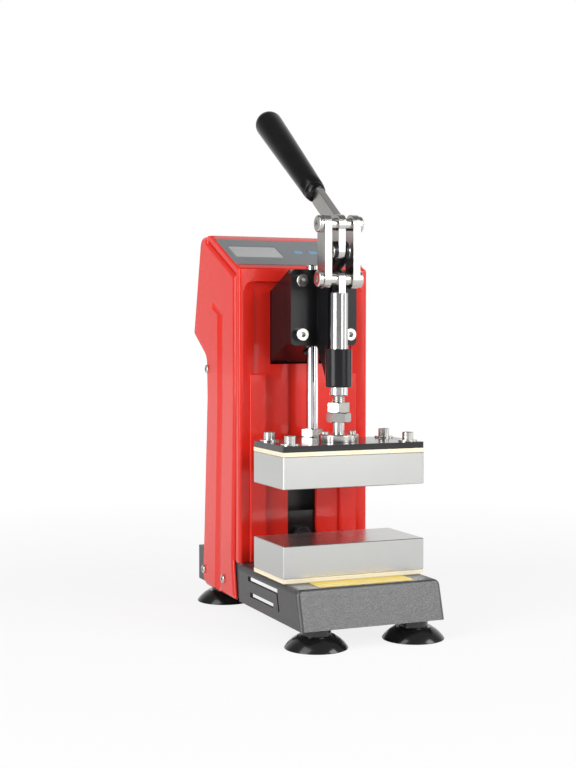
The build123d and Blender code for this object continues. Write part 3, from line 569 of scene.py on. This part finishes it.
@dataclass(frozen=True)
class DisplayPane:
    """Unlit display behind a clear pane, with painted shade from its lower edge up: lighter and
    greyer below, darker and redder above.
    """

    name: str
    # colours of the painted shade, at the pane's lower edge and higher up
    low: Colour
    high: Colour
    low_z: float = 0.297
    rise: float = 90.0
    grid_scale: float = 480.0
    grid_share: float = 0.06
    grid_colour: Colour = (0.2, 0.21, 0.2)
    roughness: float = 0.22
    coat: float = 0.6
    coat_roughness: float = 0.03

    def make(self) -> bpy.types.Material:
        """Build the material.

        Returns:
            The material.
        """
        g = Graph(self.name)
        height = g.node("ShaderNodeSeparateXYZ", inputs={0: g.place()}, output=2)
        share = ((height - self.low_z) * self.rise).at_least(0.0).at_most(1.0)
        grid = g.node(
            "ShaderNodeTexWave",
            {"wave_type": "BANDS", "bands_direction": "X"},
            {"Vector": g.place(), "Scale": self.grid_scale},
        )
        # painted shade: lighter low on the pane, darker and redder higher up
        shade = g.mix(share, self.low, self.high)
        return g.finish(
            Base_Color=g.mix(self.grid_share * grid, shade, self.grid_colour),
            Roughness=self.roughness,
            Coat_Weight=self.coat,
            Coat_Roughness=self.coat_roughness,
        )


FINISHES = {
    finish.name: finish
    for finish in (
        PowderCoat("housing_red", (0.76, 0.022, 0.012)),
        WrinkleCoat("base_black", (0.030, 0.030, 0.032)),
        SatinPaint("casting_black", (0.008, 0.008, 0.009), roughness=0.22, shine=0.3),
        SatinPaint("gloss_black", (0.006, 0.006, 0.007), roughness=0.14, shine=0.6),
        MilledMetal("platen_aluminium", (0.60, 0.60, 0.585)),
        PlatedSteel("zinc_steel", (0.64, 0.64, 0.635), (0.57, 0.55, 0.50), 0.19),
        PlatedSteel("ground_steel", (0.70, 0.70, 0.70), (0.62, 0.62, 0.63), 0.14),
        PlatedSteel("chrome", (0.78, 0.78, 0.79), (0.74, 0.74, 0.76), 0.07),
        PlatedSteel("bronze", (0.62, 0.42, 0.20), (0.50, 0.32, 0.16), 0.3),
        PlatedSteel("brass_pins", (0.82, 0.66, 0.36), (0.74, 0.60, 0.34), 0.22),
        LayeredBoard("insulation_cream", (0.93, 0.86, 0.69)),
        Moulded("heater_mica", (0.50, 0.42, 0.30), 0.5),
        Moulded("grip_black", (0.002, 0.002, 0.002), 0.24, 0.0009, 0.00002, shine=0.3),
        Moulded("foot_rubber", (0.005, 0.005, 0.005), 0.2, 0.001, 0.00001, coat=0.3),
        Moulded("label_yellow", (0.64, 0.46, 0.035), 0.45, 0.002, 0.00001),
        Moulded("overlay_grey", (0.125, 0.136, 0.145), 0.32, 0.0004, 0.00001, coat=0.2),
        DisplayPane("display_glass", (0.42, 0.44, 0.44), (0.38, 0.36, 0.37)),
        Moulded("key_blue", (0.13, 0.27, 0.38), 0.35, 0.0006, 0.00001),
        Moulded("board_green", (0.02, 0.16, 0.07), 0.35),
        Moulded("fitting_black", (0.009, 0.009, 0.010), 0.46, 0.0006, 0.00003),
        Moulded("relay_grey", (0.10, 0.105, 0.11), 0.45),
        Moulded("lead_silicone", (0.02, 0.02, 0.02), 0.55, 0.0007, 0.00012),
    )
}


class Paintbox:
    """Makes each finish once and hands it out by the record's slot name."""

    def __init__(self) -> None:
        """Start with nothing made."""
        self.made: dict[str, bpy.types.Material] = {}
        self.slots = {row["node"]: row["material_slot"] for row in frame["record"]["subparts"]}

    def finish(self, slot: str) -> bpy.types.Material:
        """The material of a slot.

        Args:
            slot: the record's name for it.

        Returns:
            The material, made on its first use.
        """
        if slot not in self.made:
            self.made[slot] = FINISHES[slot].make()
        return self.made[slot]

    def dress_nodes(self) -> None:
        """Give every CAD node its slot's finish."""
        for name, node in frame["nodes"].items():
            if not node.material_slots:
                node.data.materials.append(None)
            for holder in node.material_slots:
                holder.material = self.finish(self.slots[name])


# ------------------------------------------------------------------ modelling
def body_of_node(node: str) -> str:
    """Name of the body that a CAD node moves with."""
    return frame["nodes"][node]["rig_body"]


def press_point(x: float, y: float, z: float) -> Vector:
    """A point given in millimetres from the pressing axis, in the row frame."""
    return Vector((x * MM, PRESS_Y + y * MM, z * MM))


def spun(degrees: float, axis: str = "Z") -> Matrix:
    """A turn about one axis."""
    return Matrix.Rotation(math.radians(degrees), 4, axis)


def weld_outwards(shape: bmesh.types.BMesh) -> None:
    """Merge a shape's doubled points and point its faces outwards."""
    bmesh.ops.remove_doubles(shape, verts=shape.verts, dist=WELD)
    bmesh.ops.recalc_face_normals(shape, faces=shape.faces)


def cut_and_cap(shape: bmesh.types.BMesh, point: Vector, outward: Vector) -> None:
    """Cut off what lies outside a plane and close the cut.

    Args:
        shape: the mesh to cut.
        point: a point of the plane.
        outward: direction of the side that goes.
    """
    cut = bmesh.ops.bisect_plane(
        shape,
        geom=shape.verts[:] + shape.edges[:] + shape.faces[:],
        plane_co=point,
        plane_no=outward,
        clear_outer=True,
    )
    rim = [e for e in cut["geom_cut"] if isinstance(e, bmesh.types.BMEdge)]
    if rim:
        bmesh.ops.edgenet_fill(shape, edges=rim)


def lathe(profile: Sequence[Pair], steps: int) -> bmesh.types.BMesh:
    """Turn an outline about the z axis.

    Args:
        profile: radius and height of each point, in millimetres.
        steps: segments round the axis.

    Returns:
        The closed surface.
    """
    made = bmesh.new()
    points = [made.verts.new((r * MM, 0, z * MM)) for r, z in profile]
    edges = [made.edges.new(pair) for pair in zip(points, points[1:])]
    bmesh.ops.spin(
        made,
        geom=points + edges,
        axis=(0, 0, 1),
        cent=(0, 0, 0),
        angle=TWO_PI,
        steps=steps,
        use_merge=True,
    )
    weld_outwards(made)
    return made


@dataclass(frozen=True)
class Hexagon:
    """A hexagon nut with turned chamfers at both ends, standing on z = 0."""

    across: float
    height: float
    chamfer_at: float = 0.485  # radius where a chamfer starts, as a share of the width
    chamfer_rise: float = 1.7
    chamfer_cuts: int = 24

    def make(self) -> bmesh.types.BMesh:
        """Raise the hexagon and cut its chamfers.

        Returns:
            The closed shape.
        """
        made = bmesh.new()
        corner = self.across / math.sqrt(3) * MM
        ring = bmesh.ops.create_circle(made, segments=6, radius=corner, cap_ends=True)["verts"]
        face = ring[0].link_faces[0]
        raised = bmesh.ops.extrude_face_region(made, geom=[face])["geom"]
        top = [v for v in raised if isinstance(v, bmesh.types.BMVert)]
        high = self.height * MM
        flat = self.chamfer_at * self.across * MM
        bmesh.ops.translate(made, verts=top, vec=(0, 0, high))
        for level, lean in ((0.0, -self.chamfer_rise), (high, self.chamfer_rise)):
            for step in range(self.chamfer_cuts):
                angle = TWO_PI * step / self.chamfer_cuts
                outward = Vector((math.cos(angle), math.sin(angle), 0))
                edge = outward * flat + Vector((0, 0, level))
                cut_and_cap(made, edge, (outward + Vector((0, 0, lean))).normalized())
        weld_outwards(made)
        return made


class Piece:
    """A finished mesh on its way into the scene."""

    def __init__(self, paint: Paintbox, name: str, shape: bmesh.types.BMesh) -> None:
        """Keep what the piece needs.

        Args:
            paint: where its finish comes from.
            name: the piece's name.
            shape: its mesh, in the row frame once moved.
        """
        self.paint = paint
        self.name = name
        self.shape = shape

    def moved(self, matrix: Matrix) -> Piece:
        """Move the mesh itself."""
        bmesh.ops.transform(self.shape, matrix=matrix, verts=self.shape.verts)
        return self

    def placed(
        self,
        slot: str,
        body: str | None,
        stands_for: Sequence[str] = (),
        smooth: float = 32.0,
        even: bool = False,
    ) -> bpy.types.Object:
        """Put the piece into the scene.

        Args:
            slot: material slot of the record.
            body: CAD body that it rides on, or None to leave it on no body.
            stands_for: CAD nodes that it replaces.
            smooth: largest angle that is shaded smooth, in degrees.
            even: whether flat faces keep their own shading beside rounded edges.

        Returns:
            The object.
        """
        mesh = bpy.data.meshes.new(self.name)
        self.shape.to_mesh(mesh)
        self.shape.free()
        for polygon in mesh.polygons:
            polygon.use_smooth = True
        mesh.set_sharp_from_angle(angle=math.radians(smooth))
        made = bpy.data.objects.new(self.name, mesh)
        bpy.context.scene.collection.objects.link(made)
        mesh.materials.append(self.paint.finish(slot))
        if even:
            weighted = made.modifiers.new("even shading", "WEIGHTED_NORMAL")
            weighted.keep_sharp = True
        if body:
            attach(made, body)
        if stands_for:
            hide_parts(*stands_for)
        LOG.info("%s: %d faces", self.name, len(mesh.polygons))
        return made


# ------------------------------------------------------------------ sub-assemblies
class EdgeWidth(Enum):
    """How far the edges of a family of parts are broken, in millimetres."""

    SHEET = 0.5
    CASTING = 0.8
    BAR = 0.45
    SMALL = 0.25


@dataclass
class SoftenedParts:
    """CAD nodes that are shown as copies with broken edges."""

    paint: Paintbox
    families: dict[EdgeWidth, tuple[str, ...]] = field(
        default_factory=lambda: {
            EdgeWidth.SHEET: ("base_frame", "front_shell", "rear_cover", "top_plate"),
            EdgeWidth.CASTING: ("toggle_body", "press_bracket"),
            EdgeWidth.BAR: ("link_left", "link_right", "lever_arm", "plunger", "swivel_flange"),
            EdgeWidth.SMALL: (
                "mains_inlet", "switch_frame", "rocker",
                "key_set", "key_down", "key_up", "key_mode",
            ),
        }
    )
    node_weld: float = 2e-6
    flat_angle: float = 0.6
    crisp_angle: float = 38.0
    smooth: float = 50.0
    segments: int = 2

    def soften(self, node: str, width: EdgeWidth) -> None:
        """Replace a CAD node by a copy whose edges are broken.

        Args:
            node: the CAD node.
            width: how wide its rounded edges are.
        """
        shape = bmesh.new()
        shape.from_mesh(frame["nodes"][node].data)
        bmesh.ops.remove_doubles(shape, verts=shape.verts, dist=self.node_weld)
        bmesh.ops.dissolve_limit(
            shape,
            angle_limit=math.radians(self.flat_angle),
            verts=shape.verts,
            edges=shape.edges,
            delimit={"NORMAL"},
        )
        joined = [e for e in shape.edges if len(e.link_faces) == 2]
        crisp = [e for e in joined if e.calc_face_angle() > math.radians(self.crisp_angle)]
        bmesh.ops.bevel(
            shape,
            geom=crisp,
            offset=width.value * MM,
            segments=self.segments,
            profile=0.5,
            affect="EDGES",
            material=-1,
            clamp_overlap=True,
            loop_slide=True,
        )
        bmesh.ops.remove_doubles(shape, verts=shape.verts, dist=WELD)
        piece = Piece(self.paint, f"{node}.form", shape)
        slot = self.paint.slots[node]
        piece.placed(slot, body_of_node(node), [node], smooth=self.smooth, even=True)

    def build(self) -> None:
        """Soften every family."""
        for width, nodes in self.families.items():
            for node in nodes:
                self.soften(node, width)


@dataclass
class SuctionFeet:
    """Four glossy rubber suction feet with turned necks, each on a stud and nut."""

    paint: Paintbox
    rim: float = 24.1
    neck: float = 11.3
    ledge: float = 14.5
    top: float = 16.0
    stud: float = 4.4
    plate: float = 2.5  # thickness of the base's foot plate, above the neck
    steps: int = 96
    smooth: float = 34.0
    places: dict[str, Pair] = field(
        default_factory=lambda: {
            "foot_front_left": (-41.0, -48.8),
            "foot_front_right": (41.0, -48.8),
            "foot_rear_left": (-41.0, 148.6),
            "foot_rear_right": (41.0, 148.6),
        }
    )

    def outline(self) -> list[Pair]:
        """Half section of one foot, from under the cup to the top of its stud.

        Returns:
            Radius and height of each point.
        """
        hollow = [(0.0, 3.4), (9.0, 3.1), (16.0, 1.9), (21.4, 0.1), (21.8, 0.0)]
        lip = [
            (self.rim - 0.5, 0.0), (self.rim - 0.1, 0.15), (self.rim, 0.5), (self.rim - 0.2, 0.9),
        ]
        dome = [
            (self.rim - 1.6, 2.9), (self.rim - 3.9, 5.3), (self.rim - 6.5, 7.5),
            (self.ledge + 0.5, 9.0), (self.ledge + 0.15, 9.4), (self.ledge - 0.3, 9.6),
        ]
        neck = [
            (self.neck + 0.4, 9.6), (self.neck, 9.9), (self.neck, self.top - 0.4),
            (self.neck - 0.4, self.top),
        ]
        nut_low = self.top + self.plate
        nut = [
            (self.stud, self.top), (self.stud, nut_low), (6.3, nut_low), (6.0, self.top + 4.0),
            (4.2, self.top + 6.4), (0.0, self.top + 6.4),
        ]
        return hollow + lip + dome + neck + nut

    def build(self) -> None:
        """Turn and place the feet."""
        for node, (x, y) in self.places.items():
            piece = Piece(self.paint, f"{node}.cup", lathe(self.outline(), self.steps))
            piece.moved(Matrix.Translation(press_point(x, y, 0)))
            piece.placed("foot_rubber", "press_body", [node], smooth=self.smooth)


@dataclass
class Grip:
    """Tapered vinyl grip with a rounded end and a rolled lower lip."""

    paint: Paintbox
    angle: float = 34.3
    origin_z: float = 319.0
    start: float = 49.6
    round_at: float = 175.4
    lip: float = 8.0
    thin: float = 9.0
    thick: float = 12.0
    swell: float = 0.9
    rings: int = 12
    steps: int = 80
    smooth: float = 40.0

    def outline(self) -> list[Pair]:
        """Half section along the grip's own axis.

        Returns:
            Radius and height of each point.
        """
        lip_top = self.start + self.lip
        points = [
            (0.0, self.start), (3.6, self.start + 0.05), (5.6, self.start + 0.7),
            (7.2, self.start + 2.0), (8.2, self.start + 3.8), (self.thin - 0.25, lip_top - 1.2),
            (self.thin - 0.2, lip_top - 0.5), (self.thin - 0.4, lip_top),
            (self.thin, lip_top + 0.6),
        ]
        foot = lip_top + 1
        shares = [step / self.rings for step in range(1, self.rings + 1)]
        for share in shares:
            radius = self.thin + (self.thick - self.thin) * share**self.swell
            points.append((radius, foot + (self.round_at - foot) * share))
        for share in shares:
            turn = math.pi / 2 * share
            reach = self.round_at + self.thick * math.sin(turn)
            points.append((max(self.thick * math.cos(turn), 0.0), reach))
        return points

    def build(self) -> None:
        """Turn and place the grip."""
        piece = Piece(self.paint, "grip.sleeve", lathe(self.outline(), self.steps))
        lean = spun(self.angle - 90, "X")
        piece.moved(Matrix.Translation(press_point(0, 0, self.origin_z)) @ lean)
        piece.placed("grip_black", "lever", ["grip"], smooth=self.smooth)


@dataclass
class Spindle:
    """Height adjusting spindle: foot collar, shaft, hexagon and thread."""

    paint: Paintbox
    collar: float = 8.0
    collar_low: float = 150.6
    collar_high: float = 153.3
    shaft: float = 4.5
    across: float = 17.0
    hex_low: float = 165.4
    hex_high: float = 172.9
    hex_turn: float = 5.0
    hex_smooth: float = 12.0
    steps: int = 48
    top: float = 215.0
    crest: float = 4.95
    root: float = 4.15
    pitch: float = 1.5
    flank: float = 0.42  # share of the pitch that each flank of the thread takes
    thread_gap: float = 0.3
    thread_turns: int = 24
    thread_steps: int = 36
    thread_smooth: float = 25.0

    def build(self) -> None:
        """Build the shaft, its hexagon and its thread."""
        r, low, high = self.collar, self.collar_low, self.collar_high
        core = self.root - 0.05
        outline = [
            (0.0, low), (r - 0.3, low), (r, low + 0.3), (r, high - 0.3), (r - 0.3, high),
            (self.shaft, high), (self.shaft, self.hex_low), (self.shaft, self.hex_high),
            (core, self.hex_high), (core, self.top - 0.6), (self.root - 0.8, self.top),
            (0.0, self.top),
        ]
        shaft = Piece(self.paint, "spindle.shaft", lathe(outline, self.steps))
        shaft.moved(Matrix.Translation((0, PRESS_Y, 0)))
        shaft.placed("zinc_steel", "spindle", ["adjusting_spindle"])
        shape = Hexagon(self.across, self.hex_high - self.hex_low).make()
        nut = Piece(self.paint, "spindle.hexagon", shape)
        place = Matrix.Translation(press_point(0, 0, self.hex_low))
        nut.moved(place @ spun(self.hex_turn))
        nut.placed("zinc_steel", "spindle", smooth=self.hex_smooth)
        self.thread()

    def thread(self) -> None:
        """Wind the thread up the shaft."""
        shape = bmesh.new()
        rise = self.pitch * MM
        section = [
            (self.root, 0.0), (self.crest, self.flank), (self.crest, 1 - self.flank),
            (self.root, 1.0),
        ]
        points = [shape.verts.new((r * MM, 0, share * rise)) for r, share in section]
        edges = [shape.edges.new(pair) for pair in zip(points, points[1:])]
        bmesh.ops.spin(
            shape,
            geom=points + edges,
            axis=(0, 0, 1),
            cent=(0, 0, 0),
            dvec=(0, 0, rise / self.thread_steps),
            angle=TWO_PI * self.thread_turns,
            steps=self.thread_steps * self.thread_turns,
        )
        weld_outwards(shape)
        piece = Piece(self.paint, "spindle.thread", shape)
        piece.moved(Matrix.Translation(press_point(0, 0, self.hex_high + self.thread_gap)))
        piece.placed("zinc_steel", "spindle", smooth=self.thread_smooth)


@dataclass
class Nuts:
    """Jam nut on the spindle and the guide rod's nut."""

    paint: Paintbox
    across: float = 17.0
    smooth: float = 12.0
    # node, body, place, height and turn in degrees
    rows: tuple[tuple[str, str, Triple, float, float], ...] = (
        ("jam_nut", "spindle", (0, 0, 173.1), 8.0, 35.0),
        ("guide_rod_nut", "carriage", (0, 51.4, 150.3), 7.0, 36.0),
    )

    def build(self) -> None:
        """Build both nuts."""
        for node, body, place, height, turn in self.rows:
            piece = Piece(self.paint, f"{node}.hexagon", Hexagon(self.across, height).make())
            piece.moved(Matrix.Translation(press_point(*place)) @ spun(turn))
            piece.placed("zinc_steel", body, [node], smooth=self.smooth)


@dataclass
class UpperLead:
    """Flexible lead from the upper plate's gland into the housing, in two halves.

    The rear half is kept on the housing's side of the split and the front half on the gland's
    side. Each bend field holds two distances from the pressing axis.
    """

    paint: Paintbox
    radius: float = 3.0
    route: tuple[Pair, ...] = (
        (31.2, 129.8), (38.0, 129.8), (44.5, 129.8), (50.5, 128.4), (55.8, 124.6), (59.9, 119.4),
        (63.9, 114.3), (68.9, 110.9), (75.0, 110.0), (85.0, 110.0), (95.0, 110.0),
    )
    split: float = 50.0
    level: float = 110.0
    housing_bend: Pair = (70.0, 58.0)
    gland_bend: Pair = (50.0, 39.0)
    curve_weld: float = 1e-7
    smooth: float = 60.0

    def tube(self) -> bmesh.types.BMesh:
        """Sweep the whole lead.

        Returns:
            The closed tube.
        """
        curve = bpy.data.curves.new("upper_lead.tube", "CURVE")
        curve.dimensions = "3D"
        curve.bevel_depth = self.radius * MM
        curve.bevel_resolution = 8
        curve.resolution_u = 6
        curve.use_fill_caps = True
        line = curve.splines.new("NURBS")
        line.points.add(len(self.route) - 1)
        for point, (y, z) in zip(line.points, self.route):
            point.co = (*press_point(0, y, z), 1.0)
        line.order_u = 3
        line.use_endpoint_u = True
        holder = bpy.data.objects.new("upper_lead.line", curve)
        bpy.context.scene.collection.objects.link(holder)
        bpy.context.view_layer.update()
        swept = holder.evaluated_get(bpy.context.evaluated_depsgraph_get())
        mesh = bpy.data.meshes.new_from_object(swept)
        bpy.data.objects.remove(holder)
        shape = bmesh.new()
        shape.from_mesh(mesh)
        bmesh.ops.remove_doubles(shape, verts=shape.verts, dist=self.curve_weld)
        return shape

    def half(self, toward: float) -> bmesh.types.BMesh:
        """The lead on one side of its split, closed at the cut.

        Args:
            toward: 1 to keep the housing's side, -1 to keep the gland's side.

        Returns:
            The closed tube.
        """
        shape = self.tube()
        cut_and_cap(shape, press_point(0, self.split, 0), Vector((0, -toward, 0)))
        bmesh.ops.recalc_face_normals(shape, faces=shape.faces)
        return shape

    def build(self) -> None:
        """Build both halves."""
        rows = [
            ("upper_lead.rear", 1.0, "press_body", "ram", self.housing_bend),
            ("upper_lead.front", -1.0, "ram", "carriage", self.gland_bend),
        ]
        for name, toward, fixed, moving, (start, end) in rows:
            piece = Piece(self.paint, name, self.half(toward))
            made = piece.placed("lead_silicone", None, smooth=self.smooth)
            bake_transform(made)
            if toward > 0:
                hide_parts("upper_lead")


# ------------------------------------------------------------------ studio
@dataclass(frozen=True)
class Softbox:
    """One rectangular lamp. Lengths are in metres and the power is in watts."""

    name: str
    at: Triple
    aim: Triple
    size: Pair
    power: float

    def hang(self) -> None:
        """Put the lamp into the scene."""
        data = bpy.data.lights.new(self.name, "AREA")
        data.shape = "RECTANGLE"
        data.size, data.size_y = self.size
        data.energy = self.power
        lamp = bpy.data.objects.new(self.name, data)
        lamp.location = self.at
        toward = Vector(self.aim) - Vector(self.at)
        lamp.rotation_euler = toward.to_track_quat("-Z", "Y").to_euler()
        bpy.context.scene.collection.objects.link(lamp)


MIDDLE = (0, 0, 0.18)
SOFTBOXES = (
    Softbox("left_box", (-1.65, -0.5, 0.65), MIDDLE, (0.9, 1.3), 23.0),
    Softbox("key_box", (1.3, -1.15, 1.3), MIDDLE, (0.8, 0.9), 10.0),
    Softbox("front_box", (0.6, -1.6, 0.78), (0, -0.1, 0.05), (1.0, 0.5), 16.0),
    Softbox("front_card", (0.66, -1.75, 0.27), (0, -0.05, 0.25), (0.7, 0.3), 1.6),
    Softbox("right_card", (1.5, -0.55, 0.3), (0, 0, 0.25), (0.9, 0.5), 2.5),
    Softbox("top_box", (-1.1, -0.3, 1.5), MIDDLE, (0.9, 0.8), 5.0),
)


@dataclass
class Studio:
    """Camera, floor, surround and soft lamps."""

    camera_at: Triple = (-0.45883, -1.03838, 0.23944)
    yaw: float = 22.877
    pitch: float = 2.32
    focal_px: float = 1377.15
    frame_height: int = 768
    sensor: float = 36.0
    floor_reach: float = 6.0
    floor_colour: Colour = (0.86, 0.86, 0.86)
    floor_near: float = 0.3
    floor_fade: float = 0.5
    floor_glow: float = 0.84
    floor_mirror: float = 0.6
    floor_mirror_slope: float = 0.8
    ambient: float = 0.24
    ambient_colour: Colour = (0.97, 0.98, 1)
    world_slope: float = 1.4
    world_dim: float = 0.2
    backdrop: Triple = (0.389, 0.921, 0.0)

    def camera(self) -> None:
        """Set the camera."""
        lens = bpy.data.cameras.new("camera")
        lens.sensor_width = self.sensor
        lens.lens = self.focal_px / self.frame_height * self.sensor
        lens.clip_start = 0.05
        holder = bpy.data.objects.new("camera", lens)
        holder.location = self.camera_at
        holder.rotation_euler = (math.radians(90 - self.pitch), 0, -math.radians(self.yaw))
        bpy.context.scene.collection.objects.link(holder)
        bpy.context.scene.camera = holder

    def floor(self) -> None:
        """Lay a pale floor that keeps a faint shadow.

        It glows white to the camera, fully away from the object, and less in mirrors
        that show the floor in front.
        """
        shape = bmesh.new()
        bmesh.ops.create_grid(shape, x_segments=1, y_segments=1, size=self.floor_reach)
        mesh = bpy.data.meshes.new("floor")
        shape.to_mesh(mesh)
        shape.free()
        floor = bpy.data.objects.new("floor", mesh)
        bpy.context.scene.collection.objects.link(floor)
        g = Graph("pale_floor")
        paths = g.raw("ShaderNodeLightPath")
        depth = g.node("ShaderNodeSeparateXYZ", inputs={0: g.place()}, output=1)
        behind = self.floor_mirror + self.floor_mirror_slope * depth
        mirror = behind.at_least(self.floor_mirror).at_most(1.0)
        mirrored = mirror * Wire(g, paths.outputs["Is Glossy Ray"])
        seen = Wire(g, paths.outputs["Is Camera Ray"]).at_least(mirrored)
        matt = g.node("ShaderNodeBsdfDiffuse", inputs={"Color": (*self.floor_colour, 1)})
        glow = g.node("ShaderNodeEmission", inputs={"Color": WHITE, "Strength": 1.0})
        reach = g.node("ShaderNodeVectorMath", {"operation": "LENGTH"}, {0: g.place()}, "Value")
        fade = ((reach - self.floor_near) / self.floor_fade).at_least(0.0).at_most(1.0)
        share = self.floor_glow + (1 - self.floor_glow) * fade
        surface = g.node("ShaderNodeMixShader", inputs={0: seen * share, 1: matt, 2: glow})
        g.raw("ShaderNodeOutputMaterial", inputs={"Surface": surface})
        mesh.materials.append(g.material)

    def world(self) -> None:
        """White surround for what is seen, and a softer light on the object.

        Metal mirrors it bright toward the backdrop and dim on the operator's side.
        """
        world = bpy.data.worlds.new("surround")
        world.use_nodes = True
        bpy.context.scene.world = world
        g = Graph.of_world(world)
        paths = g.raw("ShaderNodeLightPath").outputs
        rays = ("Is Camera Ray", "Is Glossy Ray", "Is Transmission Ray")
        seen, mirrored, through = (Wire(g, paths[name]) for name in rays)
        looking = g.node("ShaderNodeTexCoord", output="Generated")
        dot = {"operation": "DOT_PRODUCT"}
        ahead = g.node("ShaderNodeVectorMath", dot, {0: looking, 1: self.backdrop}, "Value")
        behind = (1 - self.world_slope * (1 - ahead)).at_least(self.world_dim).at_most(1.0)
        white, sheen, soft = (
            g.node("ShaderNodeBackground", inputs={"Color": colour, "Strength": strength})
            for colour, strength in (
                (WHITE, 1.0),
                (WHITE, behind),
                ((*self.ambient_colour, 1), self.ambient),
            )
        )
        lit = g.node("ShaderNodeMixShader", inputs={0: mirrored, 1: soft, 2: sheen})
        shown = seen.at_least(through)
        surface = g.node("ShaderNodeMixShader", inputs={0: shown, 1: lit, 2: white})
        g.raw("ShaderNodeOutputWorld", inputs={"Surface": surface})

    def build(self) -> None:
        """Set up the whole studio."""
        self.camera()
        self.floor()
        self.world()
        for softbox in SOFTBOXES:
            softbox.hang()
        bpy.context.scene.view_settings.view_transform = "Standard"


def main() -> None:
    """Build the press piece by piece."""
    logging.basicConfig(level=logging.INFO, format="%(name)s %(message)s")
    paint = Paintbox()
    paint.dress_nodes()
    Studio().build()
    for assembly in (
        SoftenedParts(paint),
        SuctionFeet(paint),
        Grip(paint),
        Spindle(paint),
        Nuts(paint),
        UpperLead(paint),
    ):
        assembly.build()


if __name__ == "__main__":
    main()
